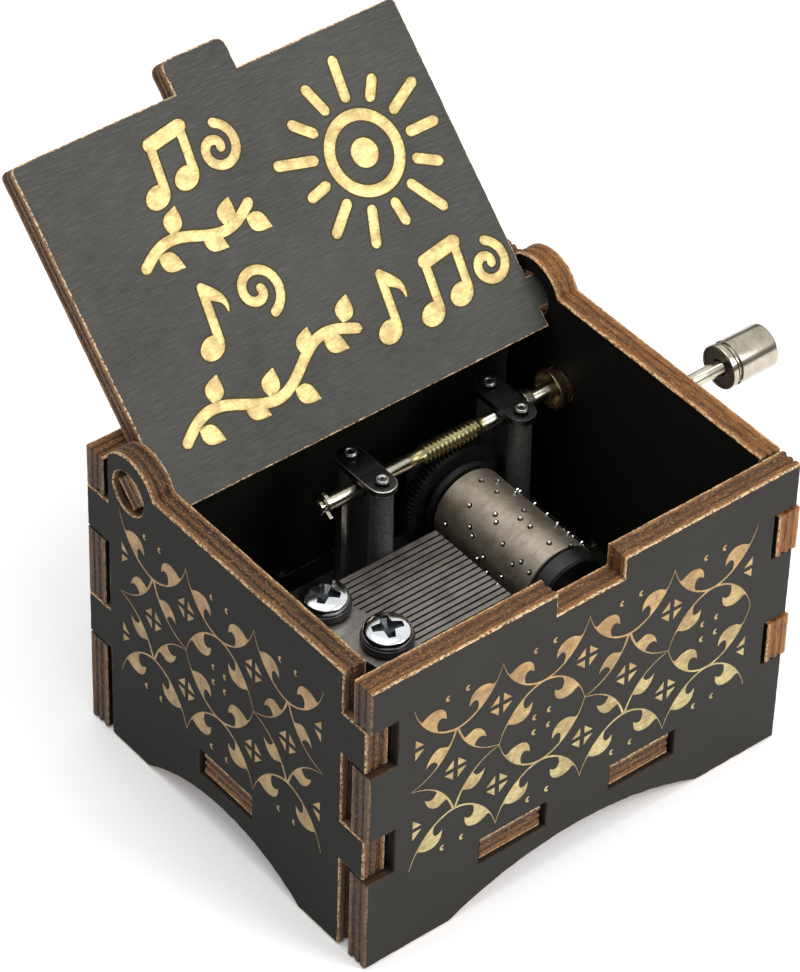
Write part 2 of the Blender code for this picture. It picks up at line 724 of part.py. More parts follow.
def make_shaft_clip(axis, mats):
    """C-shaped retaining clip in the groove at the shaft's left end."""
    clearance = GAP / 2
    outer = arc((0, 0), CLIP_RADIUS, CLIP_MOUTH, 2 * math.pi - CLIP_MOUTH, 20)
    inner = arc((0, 0), CLIP_SEAT + clearance, 2 * math.pi - CLIP_MOUTH, CLIP_MOUTH, 16)
    low = SHAFT_LEFT_END + CLIP_GROOVE_START + (CLIP_GROOVE_WIDTH - CLIP_THICKNESS) / 2
    mesh = plate("shaft_clip", outer + inner, [], low, low + CLIP_THICKNESS, facing_side)
    add_object("shaft_clip", mesh, mats["nickel"], axis, 30)


def make_shaft_collar(axis, mats):
    """Plain collar on the shaft, right of the right strap."""
    low = STAND_X[1] + STRAP_HALF_WIDTH + 2 * GAP
    high = low + COLLAR_WIDTH
    bore = SHAFT_RADIUS + GAP
    profile = [(low, bore), (low, COLLAR_RADIUS), (high, COLLAR_RADIUS), (high, bore)]
    add_object("shaft_collar", turned("shaft_collar", profile, "X", 20), mats["nickel"], axis, 40)


def make_knob(axis, mats):
    """Turned metal barrel closed at its far end, with a flanged bushing in its mouth."""
    outer = KNOB_RADIUS
    cavity = KNOB_CAVITY_RADIUS
    cavity_end = KNOB_NEAR_X + KNOB_CAVITY_END
    mouth = KNOB_NEAR_X + BUSHING_FLANGE + GAP
    end = KNOB_NEAR_X + KNOB_LENGTH
    diagonal = KNOB_END_ROUND * (1 - math.cos(math.pi / 4))
    profile = [(cavity_end, 0), (cavity_end, cavity), (mouth, cavity)]
    profile += [(mouth, outer - KNOB_RIM), (mouth + KNOB_RIM, outer), (end - KNOB_END_ROUND, outer)]
    profile += [(end - diagonal, outer - diagonal), (end, outer - KNOB_END_ROUND), (end, 0)]
    add_object("crank_knob", turned("crank_knob", profile, "X", 32), mats["nickel"], axis, 30)

    bore = SHAFT_RADIUS + GAP
    sleeve = cavity - GAP
    flange_end = KNOB_NEAR_X + BUSHING_FLANGE
    inner_end = KNOB_NEAR_X + BUSHING_LENGTH
    profile = [(KNOB_NEAR_X, bore), (KNOB_NEAR_X, outer - BUSHING_RIM), (KNOB_NEAR_X + BUSHING_RIM, outer)]
    profile += [(flange_end, outer), (flange_end, sleeve), (inner_end, sleeve), (inner_end, bore)]
    add_object("knob_bushing", turned("knob_bushing", profile, "X", 32), mats["nickel"], axis, 30)


def make_wall_eyelet(parent, mats):
    """Flared brass eyelet that lines the crank's hole in the right wall."""
    outer_face = CASE_WIDTH / 2 + RIGHT_PROUD_X
    inner_face = outer_face - PLY
    flare_end = inner_face - EYELET_FLARE_LENGTH
    flange_end = outer_face + EYELET_FLANGE_WIDTH
    tube = EYELET_RADIUS
    seat = tube + EYELET_LIP
    profile = [(flare_end, EYELET_FLARE), (inner_face - GAP, seat), (inner_face - GAP, tube)]
    profile += [(outer_face + GAP, tube), (outer_face + GAP, EYELET_FLANGE), (flange_end, EYELET_FLANGE)]
    profile += [(flange_end, EYELET_BORE), (inner_face - EYELET_LIP, EYELET_BORE)]
    profile.append((flare_end, EYELET_FLARE - EYELET_LIP))
    mesh = moved(turned("wall_eyelet", profile, "X", 32), 0, SHAFT_Y, SHAFT_Z)
    add_object("wall_eyelet", mesh, mats["brass"], parent, 30)


# ------------------------------------------------------------------ frame and comb

def stadium(centre, half_length, half_width):
    """A rounded bar outline along Y."""
    x, y = centre
    straight = half_length - half_width
    points = arc((x, y + straight), half_width, 0, math.pi, 10)
    points += arc((x, y - straight), half_width, math.pi, 2 * math.pi, 10)
    return points


def comb_root_x(y):
    """X of the slanted line where the tines start."""
    share = (COMB_BACK - y) / (COMB_BACK - COMB_FRONT)
    return ROOT_BACK_X + (ROOT_FRONT_X - ROOT_BACK_X) * share


def comb_left_x(y):
    """X of the comb's slanted left edge."""
    share = (COMB_BACK - y) / (COMB_BACK - COMB_FRONT)
    return COMB_LEFT_BACK_X + (COMB_LEFT_FRONT_X - COMB_LEFT_BACK_X) * share


def make_comb(parent, mats):
    """Steel comb: one plate with sawn slots between the tines and two screw holes."""
    outline = [(comb_left_x(COMB_FRONT), COMB_FRONT), (comb_left_x(COMB_BACK), COMB_BACK)]
    for tine in range(TINES):
        high = COMB_BACK - tine * TINE_PITCH
        low = high - TINE_PITCH
        if tine:
            high -= TINE_GAP / 2
        if tine < TINES - 1:
            low += TINE_GAP / 2
        if tine:
            outline.append((comb_root_x(high), high))
        outline += [(COMB_TIP_X, high), (COMB_TIP_X, low)]
        if tine < TINES - 1:
            outline.append((comb_root_x(low), low))
    holes = [circle(centre, COMB_SCREW_SHANK + GAP, 20) for centre in COMB_SCREWS]
    mesh = plate("comb", outline, holes, COMB_BOTTOM, COMB_BOTTOM + COMB_THICKNESS, flat_xy)
    add_object("comb", mesh, mats["comb_steel"], parent)


def pan_screw(name, head_radius, head_height, shank_radius, shank_length, recess):
    """Pan-head cross-recess screw standing on its seat at z = 0, head up."""
    rim = head_height * 0.35
    flat = head_radius * 0.35
    point = shank_radius * 0.75
    steps = 4
    profile = [(-shank_length, 0), (-shank_length, point), (-shank_length + shank_radius / 2, shank_radius)]
    profile += [(0, shank_radius), (0, head_radius - GAP / 3), (rim, head_radius)]
    for i in range(1, steps):
        angle = math.pi / 2 * i / steps
        height = rim + (head_height - rim) * math.sin(angle)
        profile.append((height, flat + (head_radius - flat) * math.cos(angle)))
    profile += [(head_height, flat), (head_height, 0)]
    mesh = turned(name, profile, "Z", 28)
    arm = recess * 0.28
    cross = []
    for quarter in range(4):
        turn = Matrix.Rotation(math.pi / 2 * quarter, 2)
        cross += [tuple(turn @ Vector(corner)) for corner in ((recess, -arm), (recess, arm), (arm, arm))]
    tool = plate(name + "_recess", cross, [], head_height * 0.45, head_height + 2 * GAP, flat_xy)
    return mesh, tool


def add_screw(name, size, place, parent, mat):
    """A screw with its recess cut, seated by a placement matrix."""
    mesh, tool = pan_screw(name, *size)
    mesh.transform(place)
    tool.transform(place)
    obj = add_object(name, mesh, mat, parent, 35)
    combine(obj, cutter(name + "_recess", tool, parent), "DIFFERENCE")


def make_comb_fasteners(parent, mats):
    """Two pan-head screws with dark collars under their heads."""
    seat = COMB_BOTTOM + COMB_THICKNESS + GAP
    bore = COMB_SCREW_SHANK + GAP
    head_seat = seat + WASHER_HEIGHT + GAP
    size = (COMB_SCREW_HEAD, COMB_SCREW_HEAD_HEIGHT, COMB_SCREW_SHANK, COMB_SCREW_LENGTH, COMB_SCREW_RECESS)
    for index, (x, y) in enumerate(COMB_SCREWS, start=1):
        profile = [(0, bore), (0, WASHER_RADIUS), (WASHER_HEIGHT, WASHER_RADIUS), (WASHER_HEIGHT, bore)]
        washer = moved(turned(f"comb_washer_{index}", profile, "Z", 28), x, y, seat)
        add_object(f"comb_washer_{index}", washer, mats["dark_steel"], parent, 30)
        turn = Matrix.Rotation(math.radians(20 + 25 * index), 4, "Z")
        place = Matrix.Translation((x, y, head_seat)) @ turn
        add_screw(f"comb_screw_{index}", size, place, parent, mats["chrome"])


def make_base_screws(parent, mats):
    """Three screws up through the floor panel into the bedplate."""
    size = (BASE_SCREW_HEAD, BASE_SCREW_HEAD_HEIGHT, BASE_SCREW_SHANK, BASE_SCREW_LENGTH, BASE_SCREW_RECESS)
    upside_down = Matrix.Rotation(math.pi, 4, "X")
    for index, (x, y) in enumerate(BASE_SCREWS, start=1):
        turn = Matrix.Rotation(math.radians(17 * index), 4, "Z")
        place = Matrix.Translation((x, y, FLOOR_BOTTOM - GAP)) @ upside_down @ turn
        add_screw(f"base_screw_{index}", size, place, parent, mats["chrome"])


def post_places(x):
    """Centres of the two posts of the stand at x."""
    spread = RIVET_SPACING / 2
    return [(x, STRAP_Y - spread), (x, STRAP_Y + spread)]


def make_rivet(number, x, y, seat, parent, mats):
    """A rivet with a low dimpled head."""
    head = RIVET_HEAD_HEIGHT
    dimple = head - RIVET_DIMPLE / 4
    profile = [(-RIVET_LENGTH, 0), (-RIVET_LENGTH, RIVET_SHANK), (0, RIVET_SHANK), (0, RIVET_HEAD)]
    profile += [(head / 2, RIVET_HEAD), (head, RIVET_HEAD - head / 2)]
    profile += [(head, RIVET_DIMPLE + head / 4), (dimple, RIVET_DIMPLE), (dimple, 0)]
    rivet = moved(turned(f"strap_rivet_{number}", profile, "Z", 18), x, y, seat)
    add_object(f"strap_rivet_{number}", rivet, mats["dark_steel"], parent, 35)


def make_straps(parent, mats):
    """Keeper straps over the shaft, each held by two rivets in the stand's posts."""
    half_length = RIVET_SPACING / 2 + STRAP_HALF_WIDTH
    top = STRAP_BOTTOM + STRAP_THICKNESS
    number = 0
    for side, x in zip(("left", "right"), STAND_X):
        outline = stadium((x, STRAP_Y), half_length, STRAP_HALF_WIDTH)
        holes = [circle(place, RIVET_SHANK + GAP, 14) for place in post_places(x)]
        strap = plate(f"shaft_strap_{side}", outline, holes, STRAP_BOTTOM, top, flat_xy)
        add_object(f"shaft_strap_{side}", strap, mats["dark_steel"], parent, 30)
        for rivet_x, rivet_y in post_places(x):
            number += 1
            make_rivet(number, rivet_x, rivet_y, top + GAP, parent, mats)


def upright(name, y_low, y_high, width, foot):
    """A round-topped bearing upright across the drum's axis."""
    half = width / 2
    outline = [(DRUM_X + half, foot)] + arc((DRUM_X, DRUM_Z), half, 0, math.pi, 12) + [(DRUM_X - half, foot)]
    return plate(name, outline, [], y_low, y_high, facing_front)


def bedplate_additions():
    """What stands on the base slab: comb seat, posts, saddles, shaft rest and drum bearings."""
    foot = BED_TOP - BED_OVERLAP
    inset = COMB_SEAT_INSET
    seat = [(comb_left_x(COMB_FRONT) + inset, COMB_FRONT), (comb_root_x(COMB_FRONT) - inset, COMB_FRONT)]
    seat += [(comb_root_x(COMB_BACK) - inset, COMB_BACK), (comb_left_x(COMB_BACK) + inset, COMB_BACK)]
    additions = [plate("bed_comb_seat", seat, [], foot, COMB_BOTTOM - GAP, flat_xy)]
    top = STRAP_BOTTOM - GAP
    profile = [(foot, 0), (foot, POST_RADIUS + POST_DRAFT), (top, POST_RADIUS), (top, 0)]
    for stand_x, (low_x, high_x) in zip(STAND_X, SADDLE_X):
        places = post_places(stand_x)
        for x, y in places:
            post = turned(f"bed_post_{len(additions)}", profile, "Z", 20)
            additions.append(moved(post, x, y, 0))
        low = (low_x, places[0][1], foot)
        high = (high_x, places[1][1], SHAFT_Z)
        additions.append(box(f"bed_saddle_{len(additions)}", low, high))
    low = (SHAFT_REST_X[0], SHAFT_Y - SHAFT_REST_HALF, foot)
    high = (SHAFT_REST_X[1], SHAFT_Y + SHAFT_REST_HALF, SHAFT_Z)
    additions.append(box("bed_shaft_rest", low, high))
    additions.append(upright("bed_bearing_front", *FRONT_BEARING_Y, BEARING_WIDTH, foot))
    additions.append(upright("bed_bearing_rear", *REAR_BEARING_Y, BEARING_WIDTH, foot))
    return additions


def bedplate_cuts():
    """The shaft's groove, the arbor's bore and the blind bores for screws and rivets."""
    def bar(name, radius, low, high, axis, sides):
        return turned(name, [(low, 0), (low, radius), (high, radius), (high, 0)], axis, sides)

    beyond = CASE_DEPTH / 2
    groove = bar("bed_cut_shaft", SHAFT_RADIUS + GAP, -beyond, beyond, "X", 20)
    arbor = bar("bed_cut_arbor", ARBOR_RADIUS + GAP, -beyond, beyond, "Y", 20)
    cuts = [moved(groove, 0, SHAFT_Y, SHAFT_Z), moved(arbor, DRUM_X, 0, DRUM_Z)]
    comb_low = COMB_BOTTOM - COMB_SCREW_BORE_DEPTH
    base_high = BED_TOP - BASE_SCREW_ROOF
    rivet_low = STRAP_BOTTOM - RIVET_LENGTH
    bores = [(x, y, comb_low, COMB_BOTTOM + GAP, COMB_SCREW_SHANK + GAP) for x, y in COMB_SCREWS]
    bores += [(x, y, BED_BOTTOM - GAP, base_high, BASE_SCREW_SHANK + GAP) for x, y in BASE_SCREWS]
    for stand_x in STAND_X:
        bores += [(x, y, rivet_low, STRAP_BOTTOM + GAP, RIVET_SHANK + GAP) for x, y in post_places(stand_x)]
    for x, y, low, high, radius in bores:
        cuts.append(moved(bar(f"bed_cut_{len(cuts)}", radius, low, high, "Z", 14), x, y, 0))
    return cuts


def make_bedplate(parent, mats):
    """Cast frame: base, comb seat, two shaft stands and the two drum bearings, bored for its screws."""
    base = box("bedplate", (BED_LEFT, BED_FRONT, BED_BOTTOM), (BED_RIGHT, BED_REAR, BED_TOP))
    bed = add_object("bedplate", base, mats["cast_zinc"], parent)
    for mesh in bedplate_additions():
        combine(bed, cutter(mesh.name, mesh, parent), "UNION")
    for mesh in bedplate_cuts():
        combine(bed, cutter(mesh.name, mesh, parent), "DIFFERENCE")


# ------------------------------------------------------------------ assembly

def clear_scene():
    """Remove whatever the scene holds."""
    for obj in list(bpy.data.objects):
        bpy.data.objects.remove(obj)


def centre_on_footprint(assembly):
    """Move the assembly so that the origin is the centre of its footprint, on the base plane."""
    depsgraph = bpy.context.evaluated_depsgraph_get()
    corners = []
    for obj in bpy.data.objects:
        if obj.type == "MESH" and not obj.hide_render:
            shape = obj.evaluated_get(depsgraph)
            corners += [shape.matrix_world @ vert.co for vert in shape.data.vertices]
    middle_x = (min(c.x for c in corners) + max(c.x for c in corners)) / 2
    middle_y = (min(c.y for c in corners) + max(c.y for c in corners)) / 2
    assembly.location = (-middle_x, -middle_y, 0)
    bpy.context.view_layer.update()


def build():
    """Model the whole music box."""
    clear_scene()
    mats = make_materials()
    assembly = add_empty("music_box")
    lid_axis = add_empty("lid_hinge_axis", assembly, (0, HINGE_Y, HINGE_Z), LID_OPEN_ANGLE)
    crank_axis = add_empty("crank_axis", assembly, (0, SHAFT_Y, SHAFT_Z), CRANK_ANGLE)
    knob_axis = add_empty("knob_axis", crank_axis, (0, CRANK_THROW, 0))
    drum_axis = add_empty("drum_axis", assembly, (DRUM_X, SHAFT_Y, DRUM_Z))

    make_end_panels(assembly, mats)
    make_side_panel("left_panel", -1, LEFT_LENGTH, LEFT_SHIFT_Y, 0.0, [], assembly, mats)
    crank_bore = [circle((SHAFT_Y, SHAFT_Z), EYELET_RADIUS + GAP)]
    make_side_panel("right_panel", 1, RIGHT_LENGTH, RIGHT_SHIFT_Y, RIGHT_PROUD_X, crank_bore, assembly, mats)
    make_bottom_panel(assembly, mats)
    make_lid(lid_axis, mats)

    make_bedplate(assembly, mats)
    make_straps(assembly, mats)
    make_comb(assembly, mats)
    make_comb_fasteners(assembly, mats)
    make_base_screws(assembly, mats)
    make_wall_eyelet(assembly, mats)

    make_drum_barrel(drum_axis, mats)
    make_drum_end_cap(drum_axis, mats)
    make_drum_gear(drum_axis, mats)
    make_drum_arbor(drum_axis, mats)

    make_crank_shaft(crank_axis, mats)
    make_shaft_clip(crank_axis, mats)
    make_shaft_collar(crank_axis, mats)
    make_knob(knob_axis, mats)

    bpy.context.view_layer.update()
    centre_on_footprint(assembly)


build()
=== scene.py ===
"""The looks of the hand-cranked music box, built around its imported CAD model.

Lengths are millimetres in the case's own frame until a piece is finished: X runs along the front panel,
the front panel faces -Y, +Z is up, and the origin is under the middle of the case.
"""
import json
import math
import random

import bmesh
import bpy
from mathutils import Matrix, Vector
from mathutils.geometry import tessellate_polygon


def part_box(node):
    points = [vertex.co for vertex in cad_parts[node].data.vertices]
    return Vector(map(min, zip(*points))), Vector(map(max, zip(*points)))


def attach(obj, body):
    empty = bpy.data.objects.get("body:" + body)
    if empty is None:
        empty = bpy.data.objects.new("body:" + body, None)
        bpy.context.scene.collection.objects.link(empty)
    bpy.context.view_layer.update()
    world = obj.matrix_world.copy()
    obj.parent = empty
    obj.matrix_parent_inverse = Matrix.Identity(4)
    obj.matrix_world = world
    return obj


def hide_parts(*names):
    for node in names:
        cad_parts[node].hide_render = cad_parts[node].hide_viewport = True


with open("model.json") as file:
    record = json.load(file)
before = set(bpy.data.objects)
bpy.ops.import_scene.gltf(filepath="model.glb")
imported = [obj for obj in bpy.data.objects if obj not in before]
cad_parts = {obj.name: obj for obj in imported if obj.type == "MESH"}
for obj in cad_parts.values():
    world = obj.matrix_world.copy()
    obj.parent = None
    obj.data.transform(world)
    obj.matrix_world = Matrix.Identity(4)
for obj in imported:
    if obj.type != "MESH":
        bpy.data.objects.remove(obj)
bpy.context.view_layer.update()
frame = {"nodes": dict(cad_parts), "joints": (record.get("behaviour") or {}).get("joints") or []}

MM = 0.001
PLY = 3.3
JOINTS = {joint["name"]: Vector(joint["pos_m"]) for joint in frame["joints"] if "pos_m" in joint}
FRONT_LOW, FRONT_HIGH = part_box("front_panel")
BACK_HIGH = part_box("back_panel")[1]
ORIGIN = Vector(((FRONT_LOW.x + FRONT_HIGH.x) / 2, (FRONT_LOW.y + BACK_HIGH.y) / 2, 0.0))
LID_OPEN = math.radians(44.3)

# Camera, in the case's frame
CAMERA_AZIMUTH = math.radians(-39.96)
CAMERA_ELEVATION = math.radians(41.59)
CAMERA_ROLL = math.radians(1.85)
CAMERA_DISTANCE = 573.97
CAMERA_TARGET = Vector((2.37, 10.53, 30.39))
CAMERA_LENS = 176.95


def in_case(point):
    """A frame point, in metres, as millimetres in the case's frame."""
    return (Vector(point) - ORIGIN) / MM


def case_box(node):
    """The low and high corner of a CAD node's box, in the case's frame."""
    return [in_case(corner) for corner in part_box(node)]


# ---- node helpers

class Nodes:
    """A material's node tree with short ways to add nodes."""

    def __init__(self, name):
        self.material = bpy.data.materials.new(name)
        self.material.use_nodes = True
        self.tree = self.material.node_tree
        self.shader = self.tree.nodes["Principled BSDF"]

    def add(self, kind, inputs=(), **settings):
        """Add a node, set its properties, then fill its inputs with values or links."""
        node = self.tree.nodes.new(kind)
        for key, value in settings.items():
            setattr(node, key, value)
        for key, value in dict(inputs).items():
            self.put(node.inputs[key], value)
        return node

    def put(self, socket, value):
        """Give a socket a value or a link."""
        if isinstance(value, bpy.types.NodeSocket):
            self.tree.links.new(value, socket)
        else:
            socket.default_value = value

    def math(self, operation, a, b=0.0):
        """An unclamped maths node's result."""
        return self.add("ShaderNodeMath", {0: a, 1: b}, operation=operation).outputs[0]

    def span(self, value, low, high, to_low=0.0, to_high=1.0):
        """A value carried from one range to another, clamped."""
        inputs = {"Value": value, 1: low, 2: high, 3: to_low, 4: to_high}
        return self.add("ShaderNodeMapRange", inputs).outputs[0]

    def mix(self, factor, a, b, blend="MIX"):
        """Two colours mixed."""
        node = self.add("ShaderNodeMix", data_type="RGBA", blend_type=blend)
        self.put(node.inputs["Factor"], factor)
        self.put(node.inputs[6], a)
        self.put(node.inputs[7], b)
        return node.outputs[2]

    def ramp(self, factor, stops):
        """A colour ramp from (position, colour) stops."""
        node = self.add("ShaderNodeValToRGB", {"Fac": factor})
        elements = node.color_ramp.elements
        while len(elements) < len(stops):
            elements.new(0.5)
        for element, (position, colour) in zip(elements, stops):
            element.position = position
            element.color = colour
        return node.outputs[0]

    def noise(self, vector, scale, detail=3.0, roughness=0.5):
        """Fractal noise, about 0 to 1."""
        inputs = {"Vector": vector, "Scale": scale, "Detail": detail, "Roughness": roughness}
        return self.add("ShaderNodeTexNoise", inputs).outputs[0]

    def scaled(self, vector, factors):
        """A vector stretched along its axes."""
        return self.add("ShaderNodeVectorMath", {0: vector, 1: factors}, operation="MULTIPLY").outputs[0]

    def bump(self, height, strength, distance):
        """Surface relief from a height, with its distance in millimetres."""
        inputs = {"Height": height, "Strength": strength, "Distance": distance * MM}
        return self.add("ShaderNodeBump", inputs).outputs[0]

    def object_point(self):
        """Object coordinates in millimetres."""
        point = self.add("ShaderNodeTexCoord").outputs["Object"]
        return self.scaled(point, (1000.0, 1000.0, 1000.0))

    def sheet_point(self):
        """The panel coordinates kept on each corner of a panel's faces."""
        return self.add("ShaderNodeAttribute", attribute_name="sheet").outputs["Vector"]

    def finish(self, **inputs):
        """Fill the shader's sockets by name, with underscores for spaces."""
        for key, value in inputs.items():
            self.put(self.shader.inputs[key.replace("_", " ")], value)
        return self.material


def srgb(red, green, blue):
    """A colour given as 0 to 255 display values."""
    def linear(value):
        value /= 255.0
        return value / 12.92 if value <= 0.04045 else ((value + 0.055) / 1.055) ** 2.4
    return (linear(red), linear(green), linear(blue), 1.0)


# ---- materials

def painted_wood(name, dark, light, streaks, shine):
    """Matt black paint over ply: the grain shows as fine streaks along the sheet's first axis."""
    nodes = Nodes(name)
    point = nodes.sheet_point()
    fibre = nodes.noise(nodes.scaled(point, (0.35, 6.0, 1.0)), 1.0, 4.0, 0.6)
    hair = nodes.noise(nodes.scaled(point, (0.9, 16.0, 1.0)), 1.0, 2.0, 0.6)
    cloud = nodes.noise(point, 0.09, 2.0)
    grain = nodes.math("MULTIPLY", nodes.span(fibre, 0.45, 0.72), streaks)
    hairs = nodes.math("MULTIPLY", nodes.span(hair, 0.56, 0.72), streaks)
    tone = nodes.math("ADD", grain, nodes.math("MULTIPLY", hairs, 0.7))
    tone = nodes.math("ADD", tone, nodes.span(cloud, 0.3, 0.7, 0.0, 0.25))
    colour = nodes.mix(tone, dark, light)
    relief = nodes.math("ADD", nodes.math("MULTIPLY", fibre, 0.6), nodes.math("MULTIPLY", hair, 0.4))
    return nodes.finish(
        Base_Color=colour,
        Roughness=nodes.span(fibre, 0.3, 0.7, 0.52, 0.66),
        Specular_IOR_Level=shine,
        Normal=nodes.bump(relief, 0.35 * streaks + 0.1, 0.06),
    )


def burnt_edge(name, warm, deep, light, painted_light, chip):
    """A laser-cut ply edge: two outer plies with chipped rims, dark glue lines and a rough core.

    The sheet coordinates are the run along the edge, the depth and a tone: -1 darkest painted shade, 0 plain,
    1 brightest painted light.
    """
    nodes = Nodes(name)
    point = nodes.sheet_point()
    parts = nodes.add("ShaderNodeSeparateXYZ", {"Vector": point})
    depth = nodes.math("DIVIDE", parts.outputs[1], PLY)
    wave = nodes.noise(nodes.scaled(point, (0.3, 0.0, 1.0)), 1.0, 3.0)
    depth = nodes.math("ADD", depth, nodes.span(wave, 0.3, 0.7, -0.035, 0.035))
    dull = tuple((a + b) / 2 for a, b in zip(warm, deep))
    bands = nodes.ramp(depth, [
        (0.00, warm), (0.06, warm), (0.27, warm), (0.31, deep), (0.40, deep), (0.45, dull), (0.57, dull),
        (0.62, deep), (0.78, deep), (0.83, warm), (0.95, warm), (1.00, warm),
    ])
    fibre = nodes.noise(nodes.scaled(point, (0.45, 7.0, 1.0)), 1.0, 4.0, 0.65)
    speck = nodes.noise(nodes.scaled(point, (2.4, 5.5, 1.0)), 1.0, 4.0, 0.75)
    char = nodes.noise(nodes.scaled(point, (0.16, 0.8, 1.0)), 1.0, 3.0, 0.6)
    colour = nodes.mix(nodes.span(fibre, 0.40, 0.64, 0.55, 0.0), bands, deep)
    colour = nodes.mix(nodes.span(speck, 0.53, 0.66, 0.0, 0.6), colour, light)
    colour = nodes.mix(nodes.span(char, 0.44, 0.66, 0.0, 0.6), colour, deep)
    near_rim = nodes.math("ABSOLUTE", nodes.math("SUBTRACT", depth, 0.5))
    rim = nodes.math("MULTIPLY", nodes.span(near_rim, 0.37, 0.46), nodes.span(speck, 0.45, 0.53))
    rim = nodes.math("MULTIPLY", rim, nodes.span(parts.outputs[2], -0.7, 0.1, 0.1, 1.0))
    colour = nodes.mix(rim, colour, chip)
    # Tones above 0 mix in painted light, tones below 0 mix in painted shade
    bright = nodes.mix(nodes.span(fibre, 0.42, 0.58, 0.1, 0.6), colour, painted_light)
    colour = nodes.mix(nodes.span(parts.outputs[2], 0.0, 1.0), colour, bright)
    painted_shade = srgb(18, 11, 6)
    colour = nodes.mix(nodes.span(parts.outputs[2], -1.0, 0.0, 0.92, 0.0), colour, painted_shade)
    relief = nodes.math("ADD", fibre, nodes.math("MULTIPLY", speck, 0.8))
    return nodes.finish(
        Base_Color=colour,
        Roughness=nodes.span(fibre, 0.3, 0.7, 0.42, 0.75),
        Specular_IOR_Level=0.35,
        Normal=nodes.bump(relief, 0.9, 0.16),
    )


def gold_paint(name, high, low, fade):
    """Bronze-gold leaf, brushed on: warmer towards the top, with dark specks and a soft metallic sheen."""
    nodes = Nodes(name)
    point = nodes.object_point()
    height = nodes.add("ShaderNodeSeparateXYZ", {"Vector": point}).outputs[2]
    colour = nodes.mix(nodes.span(height, fade[0], fade[1]), low, high)
    brush = nodes.noise(nodes.scaled(point, (1.4, 1.4, 5.0)), 1.0, 4.0, 0.65)
    speck = nodes.noise(point, 6.0, 3.0, 0.7)
    wear = nodes.noise(point, 0.5, 2.0, 0.6)
    tarnish = srgb(120, 78, 36)
    fleck = srgb(96, 66, 34)
    shade = nodes.mix(1.0, colour, tarnish, "MULTIPLY")
    colour = nodes.mix(nodes.span(brush, 0.38, 0.62, 0.45, 0.0), colour, shade)
    colour = nodes.mix(nodes.span(wear, 0.42, 0.62, 0.0, 0.4), colour, shade)
    colour = nodes.mix(nodes.span(speck, 0.62, 0.72, 0.0, 0.7), colour, fleck)
    return nodes.finish(
        Base_Color=colour,
        Metallic=0.35,
        Roughness=nodes.span(brush, 0.3, 0.7, 0.34, 0.5),
        Normal=nodes.bump(nodes.math("ADD", brush, speck), 0.5, 0.04),
    )


def worked_metal(name, colour, shade, roughness, grain, relief=0.02):
    """Bare metal with fine tool marks along the grain vector's small axes and a few dull patches."""
    nodes = Nodes(name)
    point = nodes.object_point()
    marks = nodes.noise(nodes.scaled(point, grain), 1.0, 4.0, 0.65)
    patches = nodes.noise(point, 0.45, 3.0, 0.6)
    tint = nodes.mix(nodes.span(patches, 0.4, 0.7, 0.0, 0.6), colour, shade)
    tint = nodes.mix(nodes.span(marks, 0.5, 0.75, 0.0, 0.5), tint, shade)
    return nodes.finish(
        Base_Color=tint,
        Metallic=1.0,
        Roughness=nodes.span(marks, 0.3, 0.7, roughness * 0.75, roughness * 1.35),
        Normal=nodes.bump(marks, 0.35, relief),
    )


def cast_metal(name, colour, light):
    """Dark die-cast zinc: grainy skin with brighter rubbed specks."""
    nodes = Nodes(name)
    point = nodes.object_point()
    skin = nodes.noise(point, 3.2, 5.0, 0.7)
    fleck = nodes.noise(point, 7.0, 2.0, 0.7)
    tint = nodes.mix(nodes.span(skin, 0.45, 0.72, 0.0, 0.7), colour, light)
    rubbed = srgb(190, 186, 178)
    tint = nodes.mix(nodes.span(fleck, 0.64, 0.74), tint, rubbed)
    return nodes.finish(
        Base_Color=tint,
        Metallic=0.75,
        Roughness=nodes.span(skin, 0.3, 0.7, 0.38, 0.62),
        Normal=nodes.bump(skin, 0.6, 0.1),
    )


def plastic(name, colour):
    """Moulded plastic with a faint skin texture and scuffs."""
    nodes = Nodes(name)
    point = nodes.object_point()
    skin = nodes.noise(point, 9.0, 3.0, 0.6)
    scuff = nodes.noise(nodes.scaled(point, (0.6, 3.0, 0.6)), 1.0, 3.0, 0.6)
    scuffed = srgb(58, 57, 56)
    tint = nodes.mix(nodes.span(scuff, 0.55, 0.8, 0.0, 0.35), colour, scuffed)
    return nodes.finish(
        Base_Color=tint,
        Roughness=nodes.span(scuff, 0.3, 0.7, 0.36, 0.55),
        Normal=nodes.bump(skin, 0.25, 0.03),
    )


# Paint: dark and light tone, how strongly the grain shows, shine
PAINTS = {
    "front_paint": ((40, 38, 35), (54, 52, 48), 0.35, 0.15),
    # Painted shade: a darker copy of the front's paint, used on the other walls, the floor and the lid's
    # underside
    "side_paint": ((20, 20, 18), (32, 31, 29), 0.5, 0.12),
    "lid_paint": ((48, 48, 45), (84, 83, 79), 0.7, 0.25),
    # Painted shade: near-black paint for the inner faces, where the box lies in shade
    "inner_paint": ((15, 15, 13), (24, 23, 21), 0.5, 0.1),
    "scorch": ((46, 38, 16), (80, 66, 30), 0.8, 0.25),
}
# Gold: tone high up, tone low down, and the heights between which it changes
GOLDS = {
    "gold": ((200, 165, 106), (210, 196, 136), (16.0, 34.0)),
    # Painted shade: a darker copy of the gold, used on the side walls
    "side_gold": ((172, 140, 90), (176, 150, 98), (16.0, 34.0)),
    "lid_gold": ((226, 206, 138), (224, 204, 134), (20.0, 70.0)),
}
